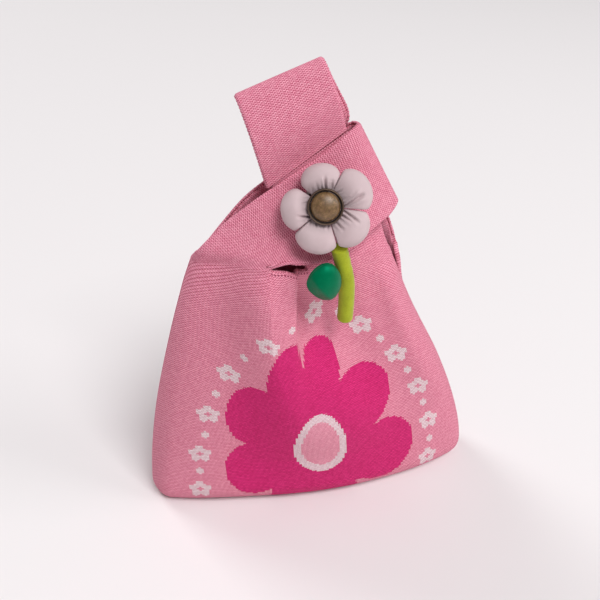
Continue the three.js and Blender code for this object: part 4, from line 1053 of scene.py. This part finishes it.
put(tree, "OutputMaterial", [shader])
rim.data.materials.append(rubbed)
rim.data.materials.append(black)
BEAD = (8.78, 9.8)          # radii between which the cup is rubbed
for face in rim.data.polygons:
    away = Vector(face.center) - FLOWER_AT * MM
    radius = (away - FLOWER_FACING * away.dot(FLOWER_FACING)).length / MM
    if not BEAD[0] <= radius <= BEAD[1]:
        face.material_index = 1

shank = [(0, -1.9), (1.0, -1.9), (1.7, -1.5), (1.8, -0.3), (2.2, 0), (7.2, 0), (7.7, 0.25), (7.7, 0.8),
         (7.3, 1), (0, 1)]
plate = spun("button_back_plate", [(r, UNDER_BUTTON + h) for r, h in shank], 48)
plate.data.materials.append(rubbed)
for piece, node, slot in ((dome, "button_dome", "button_shell"), (rim, "button_rim", "dark_bronze"),
                          (plate, "button_back", "dark_bronze")):
    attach(piece, "flower")
    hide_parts(node)


# Felt backing and centre thread
# A disc of black felt, cut by hand, covers the petals' roots behind, and black thread is wound through the
# middle.
BACKING_Z = -5.5
felt, tree = begin("black wool felt")
where = put(tree, "TexCoord", []).outputs["Object"]
hairs = put(tree, "TexNoise", {"Vector": where, "Scale": 1500.0, "Detail": 4.0, "Roughness": 0.8})
tint = put(tree, "Mix", {0: hairs, 6: "#161515", 7: "#3a3737"}, data_type="RGBA")
bump = put(tree, "Bump", {"Strength": 0.8, "Distance": 0.0003, "Height": hairs})
shader = put(tree, "BsdfPrincipled", {"Base Color": tint, "Roughness": 1.0, "Normal": bump,
                                      "Sheen Weight": 0.2, "Specular IOR Level": 0.1})
put(tree, "OutputMaterial", [shader])
disc_outline = [(0, 0), (10.2, 0), (10.7, 0.4), (10.65, 1.0), (10.2, 1.3), (0, 1.3)]
disc = spun("flower_backing_felt", [(r, BACKING_Z + h) for r, h in disc_outline], 56)
disc.data.materials.append(felt)
turns = [(0, BACKING_Z + 1.6)]
for i in range(12):
    turns += [(1.15, BACKING_Z + 1.65 + i * 0.43), (1.38, BACKING_Z + 1.85 + i * 0.43)]
turns.append((0, UNDER_BUTTON - 2.25))
thread = spun("centre_thread_winding", turns, 24)
thread.data.materials.append(felt)
for piece, node in ((disc, "flower_backing"), (thread, "centre_thread")):
    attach(piece, "flower")
    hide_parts(node)


# Pin
# A bar pin of thin nickel-plated steel: a folded sheet bar with an ear at each end, a hard wire arm and a
# roller lock with a thumb tab. The plating gives it a slightly brushed shine. These are the CAD nodes.
nickel, tree = begin("nickel-plated steel")
where = put(tree, "TexCoord", []).outputs["Object"]
scratches = put(tree, "TexNoise", {"Vector": where, "Scale": 900.0, "Detail": 6.0})
rough = put(tree, "MapRange", [scratches, 0.3, 0.7, 0.22, 0.38])
bump = put(tree, "Bump", {"Strength": 0.1, "Distance": 0.00005, "Height": scratches})
shader = put(tree, "BsdfPrincipled", {"Base Color": "#b9b7b2", "Metallic": 1.0, "Roughness": rough,
                                      "Normal": bump})
put(tree, "OutputMaterial", [shader])
for name in ("pin_bar", "pin_arm", "pin_lock"):
    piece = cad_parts[name]
    piece.data.materials.clear()
    piece.data.materials.append(nickel)
    if name != "pin_arm":
        soft = piece.modifiers.new("edges", "BEVEL")
        soft.width = 0.12 * MM
        soft.segments = 2
        soft.angle_limit = math.radians(35)


# Pinch of knit for the pin
# A small fold of the short handle's own knit, pulled up behind the flower. The pin's wire runs through it, so
# the charm hangs from the band without being sewn on.
PINCH_AT = (7.0, -8.5)      # the wire's place from the flower's middle: up, and in front
PINCH_ROUND = 1.5
PINCH_BORE = 0.75
# The fold's rings along the wire: place and size. The bore's two ends have no size.
PINCH_RINGS = [(-3, 0), (-4, 0.74), (-3.85, 0.92), (-3.4, 1), (0, 1), (3.4, 1), (3.85, 0.92), (4, 0.74),
               (3, 0)]
foot = [(-2.3, -6.0), (-2.1, -3.5), (-1.75, -PINCH_ROUND)]
arc = [(-PINCH_ROUND * math.cos(a), PINCH_ROUND * math.sin(a)) for a in np.linspace(0, math.pi, 13)]
outline = np.array(foot + arc + [(-y, z) for y, z in foot[::-1]])
count = len(outline)
turn = np.linspace(1.5 * math.pi, -0.5 * math.pi, count)
points = []
faces = []
for i, (x, size) in enumerate(PINCH_RINGS):
    ring = outline * np.where(outline[:, 1:] > 0, [size, size], [size, 1])
    if not size:
        ring = PINCH_BORE * np.stack([np.cos(turn), np.sin(turn)], -1)
    points += [(x, y + PINCH_AT[0], z + PINCH_AT[1]) for y, z in ring]
    onward = (i + 1) % len(PINCH_RINGS) * count
    for k in range(count):
        after = (k + 1) % count
        faces.append((i * count + k, i * count + after, onward + after, onward + k))
points = np.array(FLOWER_AT) + np.array(points) @ flower_frame
pinch = new_piece("pin_fold_knit", points, faces)
map_knit(pinch, points[:, [0, 2]])
face_outwards(pinch, weld=True)
finish(pinch)
pinch.data.materials.append(pink_knit)
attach(pinch, "bag")


# Stem
# A round stem of lime plush, sewn into a tube and filled. Its seam runs down the back, the short pile softens
# its outline, and it narrows where it is stitched between two petals.
STEM_TOP = np.array([-1.887, -42.423, 208.559])
STEM_LINE = [(0, 0, 0), (0.9, 0.2, -5), (3.0, 0.3, -12.7), (5.9, 0.3, -25.3), (7.1, 1.3, -39),
             (7.2, 2.2, -55)]
STEM_RADIUS = 4.7


def stem_ring(t, angle):
    line = STEM_TOP + np.array(STEM_LINE)
    flat = np.clip(t.ravel(), 0, 1)
    centre = curve(line, flat).reshape(t.shape + (3,))
    heading = curve(line, np.minimum(flat + 0.004, 1)) - curve(line, np.maximum(flat - 0.004, 0))
    side = np.cross([0, 1, 0], heading)
    side /= np.linalg.norm(side, axis=1)[:, None]
    front = np.cross(heading / np.linalg.norm(heading, axis=1)[:, None], side)
    narrow = mix(0.5, 1, smooth(t, 0, 0.18))
    cap = np.sqrt(np.clip(1 - np.clip((t - 0.955) / 0.045, 0, 1) ** 3.5, 0, 1))
    sewn = smooth(t, 0.05, 0.15)
    r = STEM_RADIUS * narrow * cap * smooth(t, -0.01, 0.02)
    # Soft wrinkles on the inside of the bend, and a shallow groove along the seam at the back.
    inner = np.clip(-np.cos(angle), 0, 1) ** 2
    wrinkles = 0.5 + 0.5 * np.cos(t * math.tau * 9)
    r = r - 0.22 * inner * wrinkles * sewn * (1 - smooth(t, 0.45, 0.6))
    r = (r - 0.5 * np.exp(-(((angle - math.pi / 2) / 0.16) ** 2)) * sewn * cap)[..., None]
    aside = side.reshape(centre.shape) * np.cos(angle)[..., None]
    return centre + r * (aside + front.reshape(centre.shape) * (np.sin(angle) * narrow)[..., None])


lime, tree = begin("lime plush")
where = put(tree, "TexCoord", []).outputs["Object"]
pile = put(tree, "TexNoise", {"Vector": where, "Scale": 1400.0, "Detail": 3.0, "Roughness": 0.7})
patch = put(tree, "TexNoise", {"Vector": where, "Scale": 160.0, "Detail": 2.0})
tint = put(tree, "Mix", {0: pile, 6: "#8f9712", 7: "#b4bd33"}, data_type="RGBA")
shade = put(tree, "MapRange", [patch, 0.3, 0.7, 0.88, 1.05])
tone = put(tree, "VectorMath", {0: tint, 3: shade}, "SCALE")
bump = put(tree, "Bump", {"Strength": 0.6, "Distance": 0.0003, "Height": pile})
shader = put(tree, "BsdfPrincipled", {
    "Base Color": tone, "Roughness": 0.95, "Normal": bump, "Sheen Weight": 0.25, "Sheen Roughness": 0.45,
    "Specular IOR Level": 0.15,
})
put(tree, "OutputMaterial", [shader])
stem = grown("stem_plush", stem_ring, 120, 48)
stem.data.materials.append(lime)
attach(stem, "stem")
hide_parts("stem")


# Leaf
# A small stuffed leaf of green satin, sewn round its edge and turned: a rounded triangle with a soft fold
# that runs down its left half. The satin has a broad sheen on the side that faces the light.
LEAF_AT = np.array([-10.787, -47.623, 186.859])
LEAF_HALF_DEPTH = 6.0
LEAF_FOLD = 3.4             # the left half steps back by this much
# Reach of the outline at each angle, from the right and round over the top.
LEAF_OUTLINE = [(0, 10.2), (25, 10.4), (45, 10.9), (70, 12.1), (90, 12.1), (110, 11.2), (135, 10.5),
                (160, 10.3), (180, 10.5), (200, 10.2), (225, 9.9), (250, 10.7), (277, 12.4), (300, 12.2),
                (330, 10.9), (360, 10.2)]


def leaf_ring(t, angle):
    # t runs from the front pole to the back pole, angle round the outline.
    steep = t * math.pi
    out = np.sin(steep)
    reach = profile(LEAF_OUTLINE, np.degrees(angle) % 360)
    x = np.cos(angle) * reach * out * 0.97
    z = np.sin(angle) * reach * out
    across_fold = x * 0.8 + z * 0.6 + 3.2
    facing = np.clip(np.cos(steep), 0, 1)
    y = -LEAF_HALF_DEPTH * np.cos(steep)
    y = y + LEAF_FOLD * smooth(-across_fold, -1.0, 4.5) * facing ** 0.5 * out
    y = y - 0.35 * np.exp(-((across_fold / 1.4) ** 2)) * facing
    seam = 1 - 0.03 * np.exp(-(((steep - math.pi / 2) / 0.09) ** 2))
    pucker = 0.12 * np.cos(angle * 26) * np.exp(-(((steep - math.pi / 2) / 0.35) ** 2))
    return LEAF_AT + np.stack([x * seam, y + pucker * np.sign(y), z * seam], -1)


green, tree = begin("green satin")
where = put(tree, "TexCoord", []).outputs["Object"]
threads = put(tree, "TexWave", {"Vector": where, "Scale": 1100.0, "Distortion": 0.5}, bands_direction="Z")
cloud = put(tree, "TexNoise", {"Vector": where, "Scale": 250.0, "Detail": 2.0})
tint = put(tree, "Mix", {0: cloud, 6: "#005535", 7: "#006a45"}, data_type="RGBA")
bump = put(tree, "Bump", {"Strength": 0.2, "Distance": 0.0001, "Height": threads.outputs["Fac"]})
shader = put(tree, "BsdfPrincipled", {"Base Color": tint, "Roughness": 0.4, "Normal": bump,
                                      "Specular IOR Level": 0.7, "Specular Tint": (0.02, 0.85, 0.45, 1)})
put(tree, "OutputMaterial", [shader])
leaf = grown("leaf_satin", leaf_ring, 48, 72)
leaf.data.materials.append(green)
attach(leaf, "leaf")
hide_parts("leaf")


# Floor and light
# A wide matt pale floor, which is only the bag's stage. Three square soft lights, in front, at the side and
# behind, give the bag weak soft shadows.
bpy.ops.mesh.primitive_plane_add(size=8, location=(0, 1.5, 0))
floor = bpy.context.active_object
floor.name = "floor"
floor_paint, tree = begin("matt pale floor")
shader = put(tree, "BsdfPrincipled", {
    "Base Color": "#e9e5e6", "Roughness": 0.9, "Specular IOR Level": 0.1,
})
put(tree, "OutputMaterial", [shader])
floor.data.materials.append(floor_paint)
floor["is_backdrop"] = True

world = bpy.data.worlds.new("soft studio")
bpy.context.scene.world = world
world.use_nodes = True
tree = world.node_tree
tree.nodes.clear()
seen = put(tree, "LightPath", [])
bright = put(tree, "MapRange", [seen.outputs["Is Camera Ray"], 0.0, 1.0, 0.27, 1.0])
sky = put(tree, "Background", [(1, 1, 1, 1), bright])
put(tree, "OutputWorld", [sky])


MIDDLE = Vector((0, 0, 0.12))


def lamp(name, at, power):
    """A square soft light, 2 m wide, that faces the middle of the bag."""
    light = bpy.data.lights.new(name, "AREA")
    light.shape = "RECTANGLE"
    light.size, light.size_y = 2, 2
    light.energy = power
    made = bpy.data.objects.new(name, light)
    made.location = at
    made.rotation_euler = (MIDDLE - Vector(at)).to_track_quat("-Z", "Y").to_euler()
    bpy.context.scene.collection.objects.link(made)


lamp("window", (0.85, -2.71, 4.07), 165)
lamp("side", (3.85, -1.82, 2.63), 62)
lamp("wall", (-2.2, 3.1, 3.3), 85)

bpy.context.scene.view_settings.view_transform = "Standard"

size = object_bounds()
